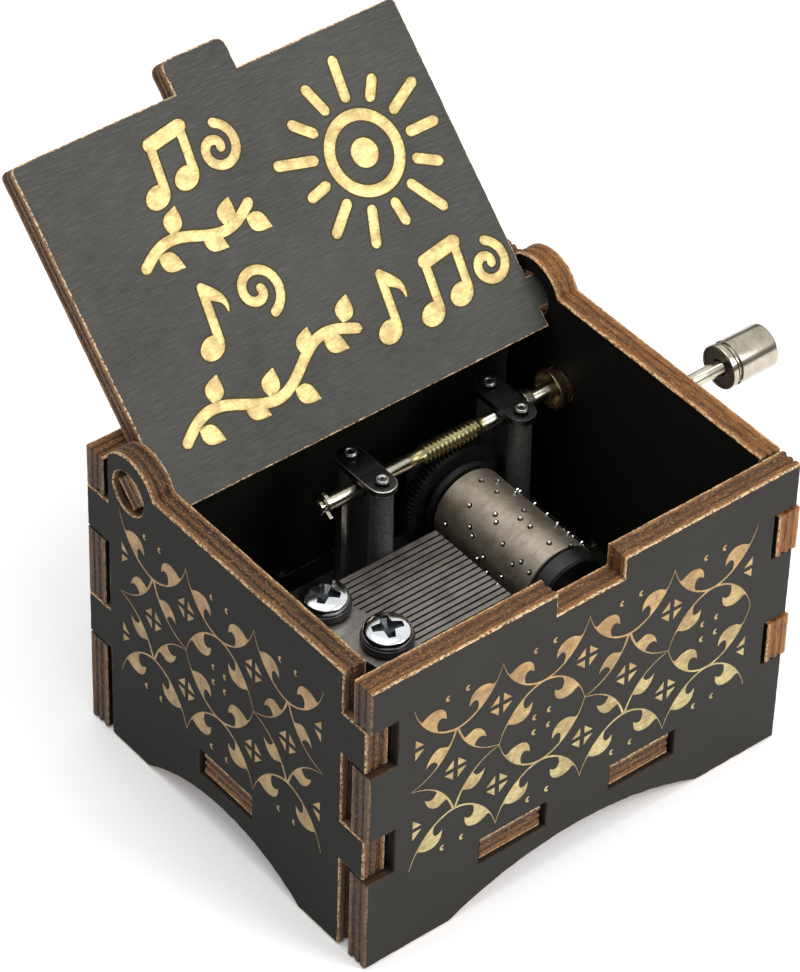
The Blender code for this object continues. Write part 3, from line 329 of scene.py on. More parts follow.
# Metal: tone, tone of its dull patches, roughness, fineness of the tool marks on each axis, and for the
# worm their relief
METALS = {
    "strap": ((76, 76, 77), (44, 44, 46), 0.34, (0.5, 3.0, 3.0)),
    "nickel": ((194, 187, 171), (146, 137, 121), 0.17, (6.0, 1.0, 1.0)),
    "shaft": ((214, 208, 190), (150, 142, 120), 0.2, (6.0, 1.0, 1.0)),
    "worm": ((172, 164, 122), (98, 92, 56), 0.32, (6.0, 1.0, 1.0), 0.005),
    "barrel": ((166, 157, 142), (118, 108, 94), 0.5, (0.6, 9.0, 0.6)),
    "comb": ((152, 147, 141), (98, 93, 88), 0.4, (0.5, 6.0, 0.5)),
    "chrome": ((236, 240, 242), (204, 208, 212), 0.13, (1.0, 1.0, 1.0)),
    "brass": ((216, 198, 160), (140, 118, 80), 0.3, (6.0, 1.0, 1.0)),
    # Bright finish for bevels and the bedplate's rest: partly wear, partly painted highlight
    "worn": ((190, 187, 178), (120, 117, 110), 0.34, (2.0, 2.0, 2.0)),
    # Painted shade: a darker copy of the nickel for the bushing's face inside the knob's mouth
    "mouth": ((104, 96, 84), (70, 64, 55), 0.4, (2.0, 2.0, 2.0)),
    # Painted shade: a darker, rougher copy of the chrome for the screws' cross recesses
    "recess": ((92, 96, 100), (44, 46, 48), 0.36, (2.0, 2.0, 2.0)),
    # Painted shade: the dark ring round each pin's root
    "dark": ((24, 23, 21), (12, 12, 11), 0.4, (2.0, 2.0, 2.0)),
}
# Burnt edges: outer plies, glue lines, light fibres, the painted light on bright ends, chipped rims
BURNT_PLY = ((126, 80, 40), (50, 29, 13), (200, 164, 112), (184, 116, 50), (226, 196, 150))


def make_materials():
    """Every finish on the object."""
    made = {
        "edge": burnt_edge("edge", *[srgb(*tone) for tone in BURNT_PLY]),
        "cast": cast_metal("cast", srgb(88, 88, 88), srgb(138, 138, 136)),
        "plastic": plastic("plastic", srgb(12, 12, 12)),
    }
    for maker, finishes in ((painted_wood, PAINTS), (gold_paint, GOLDS), (worked_metal, METALS)):
        for name, (first, second, *rest) in finishes.items():
            made[name] = maker(name, srgb(*first), srgb(*second), *rest)
    return made


MATERIALS = make_materials()


# ---- piece helpers

def placed(name, data):
    """A new object in the scene."""
    item = bpy.data.objects.new(name, data)
    bpy.context.scene.collection.objects.link(item)
    return item


def finish_piece(name, mesh, body, materials, smooth=None):
    """Turn a mesh in case millimetres into a piece that rides on a body."""
    mesh.transform(Matrix.Translation(ORIGIN) @ Matrix.Scale(MM, 4))
    for material in materials:
        mesh.materials.append(MATERIALS[material])
    if smooth is not None:
        mesh.shade_smooth()
        mesh.set_sharp_from_angle(angle=math.radians(smooth))
    piece = placed(name, mesh)
    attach(piece, body)
    return piece


def stand_in(node, mesh, body, materials, smooth):
    """A finished piece that stands for a CAD node."""
    piece = finish_piece(node + "_skin", mesh, body, materials, smooth)
    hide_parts(node)
    return piece


def bands(base, rows, count):
    """Faces between closed rows of count points, which follow one another from the point base."""
    faces = []
    for row in range(rows - 1):
        here = base + row * count
        for i in range(count):
            n = (i + 1) % count
            faces.append((here + i, here + n, here + count + n, here + count + i))
    return faces


def stack(base, rows, count):
    """The faces of bands, with the first and the last row closed."""
    last = base + (rows - 1) * count
    ends = [tuple(reversed(range(base, base + count))), tuple(range(last, last + count))]
    return bands(base, rows, count) + ends


# ---- plywood sheets

class Sheet:
    """A panel's flat frame: origin, two in-plane axes and the normal of its outer face."""

    def __init__(self, origin, across, up, normal):
        self.origin = Vector(origin)
        self.across = Vector(across)
        self.up = Vector(up)
        self.normal = Vector(normal)

    def flat(self, point):
        """Sheet coordinates of a point."""
        offset = point - self.origin
        return Vector((offset.dot(self.across), offset.dot(self.up), offset.dot(self.normal)))

    def solid(self, a, b, c):
        """The point at sheet coordinates a, b and height c above the outer face."""
        return self.origin + self.across * a + self.up * b + self.normal * c


def sheet_loops(node, sheet):
    """The outline and holes of a CAD sheet's outer face, in sheet coordinates."""
    body = bmesh.new()
    body.from_mesh(frame["nodes"][node].data)
    bmesh.ops.remove_doubles(body, verts=body.verts, dist=0.002 * MM)
    corners = {vertex: sheet.flat(in_case(vertex.co)) for vertex in body.verts}
    outer = {face for face in body.faces if max(abs(corners[v].z) for v in face.verts) < 0.01}
    onward = {}
    for face in outer:
        for step in face.loops:
            if sum(other in outer for other in step.edge.link_faces) == 1:
                onward[step.vert] = step.link_loop_next.vert
    loops = []
    while onward:
        start, vertex = onward.popitem()
        loop = [start]
        while vertex is not start:
            loop.append(vertex)
            vertex = onward.pop(vertex)
        loops.append(straightened([corners[v].xy for v in loop]))
    body.free()
    return sorted(loops, key=lambda loop: -abs(area(loop)))


def area(loop):
    """Signed area of a closed loop."""
    pairs = zip(loop, loop[1:] + loop[:1])
    return sum(a.x * b.y - b.x * a.y for a, b in pairs) / 2


def with_headings(loop):
    """Each point of a closed loop with the unit directions into it and out of it."""
    for before, point, after in zip(loop[-1:] + loop[:-1], loop, loop[1:] + loop[:1]):
        yield point, (point - before).normalized(), (after - point).normalized()


def straightened(loop):
    """The loop without points in the middle of straight runs."""
    return [point for point, into, out in with_headings(loop) if into.dot(out) < 0.99999]


def divided(loop, step):
    """The loop with its long edges cut into steps."""
    points = []
    for start, end in zip(loop, loop[1:] + loop[:1]):
        count = max(1, round((end - start).length / step))
        points += [start.lerp(end, i / count) for i in range(count)]
    return points


# Least divisor of a corner's offset, so that it stays short at sharp points
SHARPEST = 0.4


def inward(loop):
    """For each point, the offset that moves both its edges one unit into the material on their left."""
    offsets = []
    for _, into, out in with_headings(loop):
        first = Vector((-into.y, into.x))
        second = Vector((-out.y, out.x))
        offsets.append((first + second) / max(SHARPEST, 1 + first.dot(second)))
    return offsets


# Depth below the outer face, and how far the edge stands back there: worn rims, glue lines and a core ply
EDGE_PROFILE = (
    (0.0, 0.12), (0.08, 0.04), (0.2, 0.0), (0.55, 0.01), (0.92, 0.02), (1.04, 0.14), (1.2, 0.16),
    (1.34, 0.05), (1.65, 0.02), (1.95, 0.05), (2.1, 0.17), (2.4, 0.16), (2.54, 0.03), (2.85, 0.0),
    (3.1, 0.0), (3.22, 0.04), (PLY, 0.12),
)
# Length of the edge's steps, and how unevenly it is cut
EDGE_STEP = 0.8
EDGE_WOBBLE = 0.04
RIM_WOBBLE = 0.11


def ply_panel(node, body, paints, tone_at, seed, reshape=None):
    """A panel that stands for its CAD node: painted faces and layered, burnt, slightly uneven edges.

    tone_at gives the painted light and shade on an edge at a place, and reshape may change an outline before
    it is used.
    """
    draw = random.Random(seed)
    sheet = SHEETS[node]
    verts = []
    faces = []
    marks = []
    slots = []
    caps = ([], [])
    for loop in sheet_loops(node, sheet):
        loop = divided(reshape(loop) if reshape else loop, EDGE_STEP)
        sides = list(zip(loop, loop[1:] + loop[:1]))
        offsets = inward(loop)
        count = len(loop)
        base = len(verts)
        run = [draw.uniform(0, 400)]
        for a, b in sides:
            run.append(run[-1] + (b - a).length)
        for depth, inset in EDGE_PROFILE:
            wobble = RIM_WOBBLE if depth in (0.0, PLY) else EDGE_WOBBLE
            for point, offset in zip(loop, offsets):
                place = point + offset * (inset + draw.uniform(0, wobble))
                verts.append(sheet.solid(place.x, place.y, -depth))
        tones = [tone_at((a + b) / 2) for a, b in sides]
        for (high, _), (low, _) in zip(EDGE_PROFILE, EDGE_PROFILE[1:]):
            for tone, near, far in zip(tones, run, run[1:]):
                marks += [(near, high, tone), (far, high, tone), (far, low, tone), (near, low, tone)]
        faces += bands(base, len(EDGE_PROFILE), count)
        slots += [1] * ((len(EDGE_PROFILE) - 1) * count)
        last = base + (len(EDGE_PROFILE) - 1) * count
        caps[0].append(list(range(base, base + count)))
        caps[1].append(list(range(last, last + count)))
    for side, rings in enumerate(caps):
        flat = [index for ring in rings for index in ring]
        loops = [[Vector((*sheet.flat(verts[i]).xy, 0)) for i in ring] for ring in rings]
        for triangle in tessellate_polygon(loops):
            corners = [flat[i] for i in triangle]
            if side == 0:
                corners.reverse()
            faces.append(tuple(corners))
            marks += [(*sheet.flat(verts[i]).xy, float(seed)) for i in corners]
            slots.append(0 if side == 0 else 2)
    mesh = bpy.data.meshes.new(node + "_ply")
    mesh.from_pydata(verts, [], faces)
    layer = mesh.attributes.new("sheet", "FLOAT_VECTOR", "CORNER")
    layer.data.foreach_set("vector", [value for mark in marks for value in mark])
    mesh.polygons.foreach_set("material_index", slots)
    face_outwards(mesh)
    piece = finish_piece(node + "_ply", mesh, body, (paints[0], "edge", paints[1]))
    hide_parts(node)


def face_outwards(mesh):
    """Turn a closed mesh's faces out if they point in."""
    volume = 0.0
    for face in mesh.polygons:
        first, *rest = [mesh.vertices[i].co for i in face.vertices]
        for second, third in zip(rest, rest[1:]):
            volume += first.dot(second.cross(third))
    if volume < 0:
        mesh.flip_normals()


def case_sheets():
    """The flat frame of each sheet: from outside for the walls and floor, from inside for the lid."""
    front = in_case(FRONT_LOW).y
    back = in_case(BACK_HIGH).y
    left = case_box("left_panel")[0].x
    right = case_box("right_panel")[1].x
    floor = case_box("bottom_panel")[0].z
    reach = Vector((0, math.cos(LID_OPEN), math.sin(LID_OPEN)))
    inner = Vector((0, -math.sin(LID_OPEN), math.cos(LID_OPEN)))
    return {
        "front_panel": Sheet((0, front, 0), (1, 0, 0), (0, 0, 1), (0, -1, 0)),
        "back_panel": Sheet((0, back, 0), (-1, 0, 0), (0, 0, 1), (0, 1, 0)),
        "left_panel": Sheet((left, 0, 0), (0, -1, 0), (0, 0, 1), (-1, 0, 0)),
        "right_panel": Sheet((right, 0, 0), (0, 1, 0), (0, 0, 1), (1, 0, 0)),
        "bottom_panel": Sheet((0, 0, floor), (-1, 0, 0), (0, 1, 0), (0, 0, -1)),
        "lid": Sheet(in_case(JOINTS["lid_hinge"]) + inner * PLY / 2, (1, 0, 0), reach, inner),
    }


SHEETS = case_sheets()


# Places on the walls' faces: how far out the front's sockets start, the fingers' tips and the floor's slots
SOCKET_FLOOR = 28.0
SHALLOW_FLOOR = 28.6
PANEL_END = (FRONT_HIGH.x - FRONT_LOW.x) / 2 / MM
PANEL_TOP = FRONT_HIGH.z / MM
RIM_DEPTH = 2.0
FINGER_TIP = 26.0
SLOT_LOW = 6.5
SLOT_HIGH = 11.5
END_SLOT_REACH = 20.0
SIDE_SLOT_REACH = 8.0
# How close counts as being at a place
NEAR = 0.1

# Painted light and shade on the burnt edges: below 0 painted shade, above 0 painted light; the left panel's
# rim is shaded and the right panel's rim is lit
DEEPEST_SHADE = -1.0
SHALLOW_SOCKET_SHADE = -0.85
UPRIGHT_END_SHADE = -0.45
LEFT_RIM = -0.12
PLAIN = 0.1
END_RIM = 0.2
RIGHT_RIM = 0.6
BRIGHT = 1.0


def shallow_right_sockets(loop):
    """The front panel's outline with its right sockets cut less deep, close to the right panel's fingers."""
    return [Vector((SHALLOW_FLOOR, p.y)) if abs(p.x - SOCKET_FLOOR) < NEAR else p for p in loop]


def end_panel_tone(point):
    """Front and back panels: painted shade in the sockets, in the slots and on the upright ends, and a little
    painted light on the rim.
    """
    across = abs(point.x)
    if across > PANEL_END - 2 * NEAR:
        return UPRIGHT_END_SHADE
    if across > SOCKET_FLOOR - NEAR and point.y < PANEL_TOP - RIM_DEPTH:
        return DEEPEST_SHADE if across < SHALLOW_FLOOR + NEAR else SHALLOW_SOCKET_SHADE
    return DEEPEST_SHADE if SLOT_LOW < point.y < SLOT_HIGH and across < END_SLOT_REACH else END_RIM


def side_panel_tone(point, rim):
    """Left and right panels: painted light on the finger ends and painted shade in the floor slot."""
    if SLOT_LOW < point.y < SLOT_HIGH and abs(point.x) < SIDE_SLOT_REACH:
        return DEEPEST_SHADE
    return BRIGHT if abs(point.x) > FINGER_TIP else rim


def make_panels():
    """The six plywood sheets."""
    side = ("side_paint", "inner_paint")
    ply_panel("front_panel", "case", ("front_paint", "inner_paint"), end_panel_tone, 1, shallow_right_sockets)
    ply_panel("back_panel", "case", side, end_panel_tone, 2)
    ply_panel("left_panel", "case", side, lambda point: side_panel_tone(point, LEFT_RIM), 3)
    ply_panel("right_panel", "case", side, lambda point: side_panel_tone(point, RIGHT_RIM), 4)
    ply_panel("bottom_panel", "case", side, lambda point: PLAIN, 5)
    ply_panel("lid", "lid", ("lid_paint", "side_paint"), lambda point: PLAIN, 6)


# ---- gold ornament

def polar(angle):
    """The unit vector at an angle."""
    return Vector((math.cos(angle), math.sin(angle)))


class Relief:
    """Strokes laid on a sheet as thin, slightly crowned ribbons."""

    # Across a ribbon, in half widths, and the share of its height there
    section = ((-1.0, 0.0), (-0.72, 0.85), (0.0, 1.0), (0.72, 0.85), (1.0, 0.0))

    def __init__(self, sheet, height, grow=0.0):
        self.sheet = sheet
        self.height = height
        self.grow = grow
        self.verts = []
        self.faces = []

    def stroke(self, points, widths, closed=False):
        """A ribbon along points, with its half width at each one."""
        count = len(points)
        size = len(self.section)
        base = len(self.verts)
        for i, (point, width) in enumerate(zip(points, widths)):
            before = points[i - 1] if i or closed else point
            after = points[(i + 1) % count] if i < count - 1 or closed else point
            heading = (after - before).normalized()
            side = Vector((-heading.y, heading.x))
            for across, lift in self.section:
                place = point + side * (across * (width + self.grow))
                self.verts.append(self.sheet.solid(place.x, place.y, lift * self.height))
        spans = count if closed else count - 1
        for i in range(spans):
            here = base + i * size
            there = base + (i + 1) % count * size
            for j in range(size):
                k = (j + 1) % size
                self.faces.append((here + j, here + k, there + k, there + j))
        if not closed:
            self.faces.append(tuple(base + j for j in reversed(range(size))))
            self.faces.append(tuple(base + (count - 1) * size + j for j in range(size)))

    def line(self, points, width):
        """A ribbon of even width with round ends."""
        first = (points[0] - points[1]).normalized()
        last = (points[-1] - points[-2]).normalized()
        whole = width + self.grow
        steps = (0.97, 0.8, 0.45)
        path = [points[0] + first * whole * s for s in steps] + points
        path += [points[-1] + last * whole * s for s in reversed(steps)]
        ends = [whole * math.sqrt(1 - s * s) - self.grow for s in steps]
        self.stroke(path, ends + [width] * len(points) + ends[::-1])

    def bar(self, start, end, width):
        """A straight ribbon."""
        self.line([start.lerp(end, i / 3) for i in range(4)], width)

    def blob(self, centre, radius, stretch=1.0, turn=0.0):
        """A filled round or oval dot."""
        size = radius + self.grow
        angles = [math.pi * i / 14 for i in range(1, 14)]
        points = [centre + polar(turn) * (size * stretch * math.cos(angle)) for angle in angles]
        self.stroke(points, [size * math.sin(angle) - self.grow for angle in angles])

    def patch(self, outline):
        """A filled shape with a softened rim."""
        if area(outline) < 0:
            outline = outline[::-1]
        levels = ((0.0, -self.grow), (0.8, 0.03 - self.grow), (1.0, 0.09 - self.grow))
        offsets = inward(outline)
        count = len(outline)
        base = len(self.verts)
        for lift, inset in levels:
            for point, offset in zip(outline, offsets):
                place = point + offset * inset
                self.verts.append(self.sheet.solid(place.x, place.y, lift * self.height))
        self.faces += bands(base, len(levels), count)
        top = base + (len(levels) - 1) * count
        for triangle in tessellate_polygon([[Vector((p.x, p.y, 0)) for p in outline]]):
            self.faces.append(tuple(top + i for i in reversed(triangle)))
            self.faces.append(tuple(base + i for i in triangle))

    def piece(self, name, body, material):
        """The finished piece."""
        mesh = bpy.data.meshes.new(name)
        mesh.from_pydata(self.verts, [], self.faces)
        layer = mesh.attributes.new("sheet", "FLOAT_VECTOR", "CORNER")
        corners = [self.sheet.flat(mesh.vertices[loop.vertex_index].co) for loop in mesh.loops]
        layer.data.foreach_set("vector", [value for corner in corners for value in corner])
        face_outwards(mesh)
        return finish_piece(name, mesh, body, (material,), 35)


def curve_points(start, first, second, end, count):
    """Points on a Bezier curve."""
    points = []
    for i in range(count + 1):
        t = i / count
        s = 1 - t
        points.append(start * s ** 3 + first * 3 * s * s * t + second * 3 * s * t * t + end * t ** 3)
    return points


TILE = 12.9
ORNAMENT_LOW = 12.5
LEAF_HEIGHT = 0.035
# Half widths of an arch's stem at its crown and its cusp
ARC_WIDTH = 0.17
CUSP_WIDTH = 0.03
ARC_STEPS = 24
# Half an arch, in half tiles: its stem's handles from crown to cusp, the stretch of the stem that bears
# its leaf, and that leaf's heel, belly, tip and the bite back to the stem
ROUND_ARCH = (
    ((0.0, 1.0), (0.35, 1.0), (0.85, 0.62), (1.0, 0.0)), (9, 20),
    ((0.86, 0.36), (0.82, 0.40), (0.77, 0.36)), ((0.62, 0.22), (0.24, 0.22)), (0.26, 0.62),
    ((0.42, 0.42), (0.54, 0.64)),
)
POINTED_ARCH = (
    ((0.02, 1.0), (0.12, 0.62), (0.42, 0.12), (1.0, 0.01)), (14, 7),
    ((0.25, 0.66), (0.27, 0.70), (0.31, 0.70)), ((0.41, 0.80), (0.63, 0.68)), (0.69, 0.39),
    ((0.58, 0.52), (0.44, 0.47)),
)


def half_arch(relief, shape, at):
    """A tapering stem and the curled leaf that grows from it."""
    handles, (near, far), heel, belly, tip, bite = shape
    path = curve_points(*[at(*p) for p in handles], ARC_STEPS)
    relief.stroke(path, [ARC_WIDTH + (CUSP_WIDTH - ARC_WIDTH) * i / ARC_STEPS for i in range(ARC_STEPS + 1)])
    step = 1 if far > near else -1
    outline = path[near:far + step:step]
    outline += curve_points(path[far], *[at(*p) for p in heel], 4)[1:]
    outline += curve_points(at(*heel[2]), *[at(*p) for p in (*belly, tip)], 12)[1:]
    outline += curve_points(at(*tip), *[at(*p) for p in bite], path[near], 10)[1:-1]
    relief.patch(outline)


def rosette(relief, x, z, sides=(-1, 1)):
    """A diamond parted by a cross: four right triangles, or two at the lattice's ends."""
    gap = 0.34
    leg = 1.25
    corners = ((gap, gap), (gap + leg, gap), (gap, gap + leg))
    for side_x in sides:
        for side_z in (-1, 1):
            relief.patch([Vector((x + side_x * a, z + side_z * b)) for a, b in corners])


def crescents(relief, x, z, spread):
    """Two small crescents, one on each side of a point."""
    count = 9
    for side in (-1, 1):
        points = []
        for i in range(count + 1):
            angle = math.pi * (0.35 + 1.3 * i / count)
            points.append(Vector((x + side * spread + 0.27 * math.cos(angle), z + 0.33 * math.sin(angle))))
        relief.stroke(points, [0.05 + 0.13 * math.sin(math.pi * i / count) for i in range(count + 1)])


def lattice(wall, first_x, columns, material):
    """A damask lattice of leafy arches on a wall, two tiles high."""
    relief = Relief(SHEETS[wall + "_panel"], LEAF_HEIGHT)
    half = TILE / 2
    middle = ORNAMENT_LOW + TILE
    for column in range(columns):
        centre_x = first_x + TILE * (column + 0.5)
        for row in range(4):
            low_z = ORNAMENT_LOW + half * row
            shape = POINTED_ARCH if row in (1, 2) and column % 2 == 0 else ROUND_ARCH
            for side in (-1, 1):
                def at(x, z):
                    return Vector((centre_x + side * x * half, low_z + (1 - z if row % 2 else z) * half))
                half_arch(relief, shape, at)
        if column % 2 == 0:
            rosette(relief, centre_x, middle)
        else:
            crescents(relief, centre_x, middle + 1.2, 1.1)
            crescents(relief, centre_x, middle - 1.2, 1.1)
        crescents(relief, centre_x, ORNAMENT_LOW + 0.9, 1.45)
        crescents(relief, centre_x, ORNAMENT_LOW + 2 * TILE - 0.9, 1.45)
    for column in range(columns + 1):
        sides = [side for side in (-1, 1) if 0 < 2 * column + side < 2 * columns]
        for row in (0, 1):
            rosette(relief, first_x + TILE * column, ORNAMENT_LOW + TILE * (row + 0.5), sides)
    relief.piece(wall + "_ornament", "case", material)


def make_lattices():
    """The gold ornament on the four walls."""
    lattice("front", -2 * TILE, 4, "gold")
    lattice("back", -2 * TILE, 4, "gold")
    lattice("left", -1.5 * TILE - 1.0, 3, "side_gold")
    lattice("right", -1.5 * TILE - 2.2, 3, "side_gold")


# ---- lid ornament

# Half widths of the strokes
STROKE = 0.88
STEM = STROKE * 0.72
BEAM = STROKE * 1.05
VINE = STROKE * 0.8
RAY = 0.7
# The radius of the sun's ring, and how far from its middle the rays start and about where they end
SUN_RING = 4.75
RAY_START = 7.1
RAY_REACH = 10.6


def sun(relief, centre, rays):
    """A plain sun: a ring, a dot and uneven rays."""
    ring = [centre + polar(2 * math.pi * i / 48) * SUN_RING for i in range(48)]
    relief.stroke(ring, [0.78] * 48, closed=True)
    relief.blob(centre, 1.9)
    for ray in range(rays):
        away = polar(2 * math.pi * ray / rays)
        reach = RAY_REACH + 1.3 * math.sin(2.4 * ray)
        relief.bar(centre + away * RAY_START, centre + away * reach, RAY)


def note(relief, foot, height):
    """The head and leaning stem of a note. Returns the stem's top."""
    relief.blob(foot, 1.4, 1.3, 0.35)
    bottom = foot + Vector((1.25, 0.35))
    top = bottom + Vector((height * 0.12, height))
    relief.bar(bottom, top, STEM)
    return top


def single_note(relief, foot, height):
    """A note with one flag."""
    top = note(relief, foot, height)
    bends = [top + Vector(offset) for offset in ((0.4, -1.4), (2.6, -1.6), (2.0, -3.8))]
    relief.stroke(curve_points(top, *bends, 8), [0.65, 0.82, 0.85, 0.8, 0.7, 0.58, 0.44, 0.3, 0.14])


def beamed_notes(relief, foot, height, gap):
    """Two notes joined by a beam."""
    first = note(relief, foot, height)
    second = note(relief, foot + Vector((gap, 0.7)), height)
    relief.bar(first, second, BEAM)


def leaf(relief, root, tip, swell):
    """A pointed leaf."""
    points = [root.lerp(tip, i / 10) for i in range(11)]
    relief.stroke(points, [0.1 + swell * math.sin(math.pi * (i / 10) ** 0.8) for i in range(11)])


def garland(relief, start, end, waves, amplitude, leaves):
    """A flowing stem with leaves on both sides."""
    count = 48
    along = end - start
    heading = along.normalized()
    side = Vector((-heading.y, heading.x))
    path = []
    for i in range(count + 1):
        t = i / count
        path.append(start + along * t + side * (amplitude * math.sin(2 * math.pi * waves * t)))
    relief.line(path, VINE)
    for i in range(leaves):
        t = (i + 0.5) / leaves
        root = path[round(t * count)]
        sign = 1 if i % 2 else -1
        tip = root + heading * 2.8 + side * (sign * 3.1)
        leaf(relief, root + (tip - root) * 0.18, tip, 1.15)


def scroll(relief, centre, size, sign):
    """A spiral curl of a little over one turn."""
    count = 30
    points = []
    for i in range(count + 1):
        t = i / count
        points.append(centre + polar(sign * 2.4 * math.pi * t) * (size * (0.18 + 0.82 * t)))
    relief.line(points, STEM)


def lid_ornament(relief):
    """The whole design on the lid's inner face, in sheet coordinates from the hinge line."""
    sun(relief, Vector((15.4, 24.1)), 13)
    beamed_notes(relief, Vector((-12.5, 29.6)), 5.6, 4.6)
    scroll(relief, Vector((-2.6, 32.0)), 3.1, 1)
    garland(relief, Vector((-18.0, 22.6)), Vector((-2.0, 24.6)), 1.0, 1.3, 5)
    single_note(relief, Vector((-14.6, 10.9)), 6.6)
    scroll(relief, Vector((-6.0, 14.8)), 3.4, -1)
    garland(relief, Vector((-23.0, 2.2)), Vector((4.0, 5.6)), 1.5, 1.7, 8)
    single_note(relief, Vector((8.0, 3.4)), 6.4)
    beamed_notes(relief, Vector((14.4, 3.0)), 5.8, 4.8)
    scroll(relief, Vector((24.3, 5.6)), 2.9, 1)


def make_lid_ornament():
    """Gold strokes inside a wider and lower scorched border."""
    for name, height, grow, material in (("border", 0.012, 0.2, "scorch"), ("gold", 0.06, 0.0, "lid_gold")):
        relief = Relief(SHEETS["lid"], height, grow)
        lid_ornament(relief)
        relief.piece("lid_ornament_" + name, "lid", material)


# ---- movement

def refined(node, body, material, bevel=0.0, smooth=35, worn=False):
    """A piece that stands for a CAD node: the same shape with softened edges, which may take a bright finish
    that is partly wear and partly painted highlight.
    """
    shape = bmesh.new()
    shape.from_mesh(frame["nodes"][node].data)
    bmesh.ops.remove_doubles(shape, verts=shape.verts, dist=0.002 * MM)
    flat = math.radians(0.5)
    bmesh.ops.dissolve_limit(shape, angle_limit=flat, verts=shape.verts, edges=shape.edges)
    mesh = bpy.data.meshes.new(node + "_skin")
    shape.to_mesh(mesh)
    shape.free()
    mesh.transform(Matrix.Scale(1 / MM, 4) @ Matrix.Translation(-ORIGIN))
    piece = stand_in(node, mesh, body, (material, "worn") if worn else (material,), smooth)
    if bevel:
        modifier = piece.modifiers.new("soft_edges", "BEVEL")
        modifier.width = bevel * MM
        modifier.segments = 2
        modifier.limit_method = "ANGLE"
        modifier.angle_limit = math.radians(40)
        modifier.harden_normals = True
        modifier.material = 1 if worn else -1
    return piece


# Where the crank shaft is its worm, and where the bedplate is the thin rest under the shaft's left end
WORM_LOW = 5.6
WORM_HIGH = 16.8
REST_LEFT = -5.4
REST_RIGHT = -4.4
REST_FOOT = 11.0


def refine_movement():
    """The movement's plain pieces, with softened edges."""
    bedplate = refined("bedplate", "case", "cast", 0.12, worn=True)
    # The rest's top takes the bright finish: partly painted highlight, partly wear
    for face in bedplate.data.polygons:
        middle = in_case(face.center)
        if middle.z > REST_FOOT and REST_LEFT < middle.x < REST_RIGHT:
            face.material_index = 1
    refined("comb", "case", "comb", 0.04)
    for side in ("left", "right"):
        refined(f"shaft_strap_{side}", "case", "strap", 0.14, worn=True)
    for number in (1, 2, 3, 4):
        refined(f"strap_rivet_{number}", "case", "strap", 0.07, worn=True)
    for number in (1, 2):
        refined(f"comb_washer_{number}", "case", "strap", 0.12)
    refined("wall_eyelet", "case", "brass", 0.08)
    shaft = refined("crank_shaft", "crank", "shaft", smooth=50)
    shaft.data.materials.append(MATERIALS["worm"])
    for face in shaft.data.polygons:
        if WORM_LOW < in_case(face.center).x < WORM_HIGH:
            face.material_index = 1
    refined("shaft_clip", "crank", "nickel", 0.06)
    refined("shaft_collar", "crank", "nickel", 0.1)
    refined("drum_gear", "drum", "plastic")
    refined("drum_end_cap", "drum", "plastic", 0.1)
    refined("drum_arbor", "drum", "shaft")


def turned(name, profile, sides, axis="X"):
    """A mesh turned from (distance along the axis, radius) points. Radius 0 at both ends makes it solid."""
    solid = profile[0][1] == 0 and profile[-1][1] == 0
    rows = profile[1:-1] if solid else profile
    verts = []
    for along, radius in rows:
        for j in range(sides):
            angle = 2 * math.pi * j / sides
            verts.append((along, radius * math.cos(angle), radius * math.sin(angle)))
    if solid:
        faces = stack(0, len(rows), sides)
    else:
        faces = [tuple(i % len(verts) for i in face) for face in bands(0, len(rows) + 1, sides)]
    mesh = bpy.data.meshes.new(name)
    mesh.from_pydata(verts, [], faces)
    turns = {"Y": Matrix.Rotation(math.pi / 2, 4, "Z"), "Z": Matrix.Rotation(-math.pi / 2, 4, "Y")}
    if axis in turns:
        mesh.transform(turns[axis])
    face_outwards(mesh)
    return mesh


def turned_knob_part(node, profile, axis, materials, is_second=None):
    """A turned piece on the knob's body. The faces that is_second picks get its second material."""
    mesh = turned(node + "_skin", profile, 72)
    for face in mesh.polygons:
        face.material_index = int(bool(is_second and is_second(face.center)))
    mesh.transform(Matrix.Translation((0, axis.y, axis.z)))
    stand_in(node, mesh, "knob", materials, 30)


def quarter_round(start, end, along_first):
    """The profile points after start on a quarter round, which sets off along the axis or away from it."""
    points = []
    for i in range(1, 5):
        angle = math.pi / 2 * i / 4
        shares = (math.sin(angle), 1 - math.cos(angle))
        along, out = shares if along_first else shares[::-1]
        points.append((start[0] + (end[0] - start[0]) * along, start[1] + (end[1] - start[1]) * out))
    return points


BARREL_RADIUS = 5.2
BARREL_WALL = 0.7
BARREL_CHAMFER = 0.12
TRACKS = 18
PINS_PER_TRACK = 4
PIN_SIDES = 12
PIN_SEED = 11
# A pin's height and radius from its root up: a ring of painted shade on the barrel, then the bright pin with
# a domed end
PIN_SHAPE = ((-0.12, 0.36), (0.012, 0.36), (0.02, 0.21), (0.24, 0.21), (0.33, 0.1596), (0.36, 0.0735))


def make_barrel():
    """The drum's satin tube."""
    axis = in_case(JOINTS["drum_spin"])
    low, high = (corner.y for corner in case_box("drum_barrel"))
    inner = BARREL_RADIUS - BARREL_WALL
    rim = BARREL_RADIUS - BARREL_CHAMFER
    profile = [(low, inner), (low, rim), (low + BARREL_CHAMFER, BARREL_RADIUS)]
    profile += [(high - BARREL_CHAMFER, BARREL_RADIUS), (high, rim), (high, inner)]
    mesh = turned("drum_barrel_skin", profile, 96, "Y")
    mesh.transform(Matrix.Translation((axis.x, 0, axis.z)))
    stand_in("drum_barrel", mesh, "drum", ("barrel",), 35)


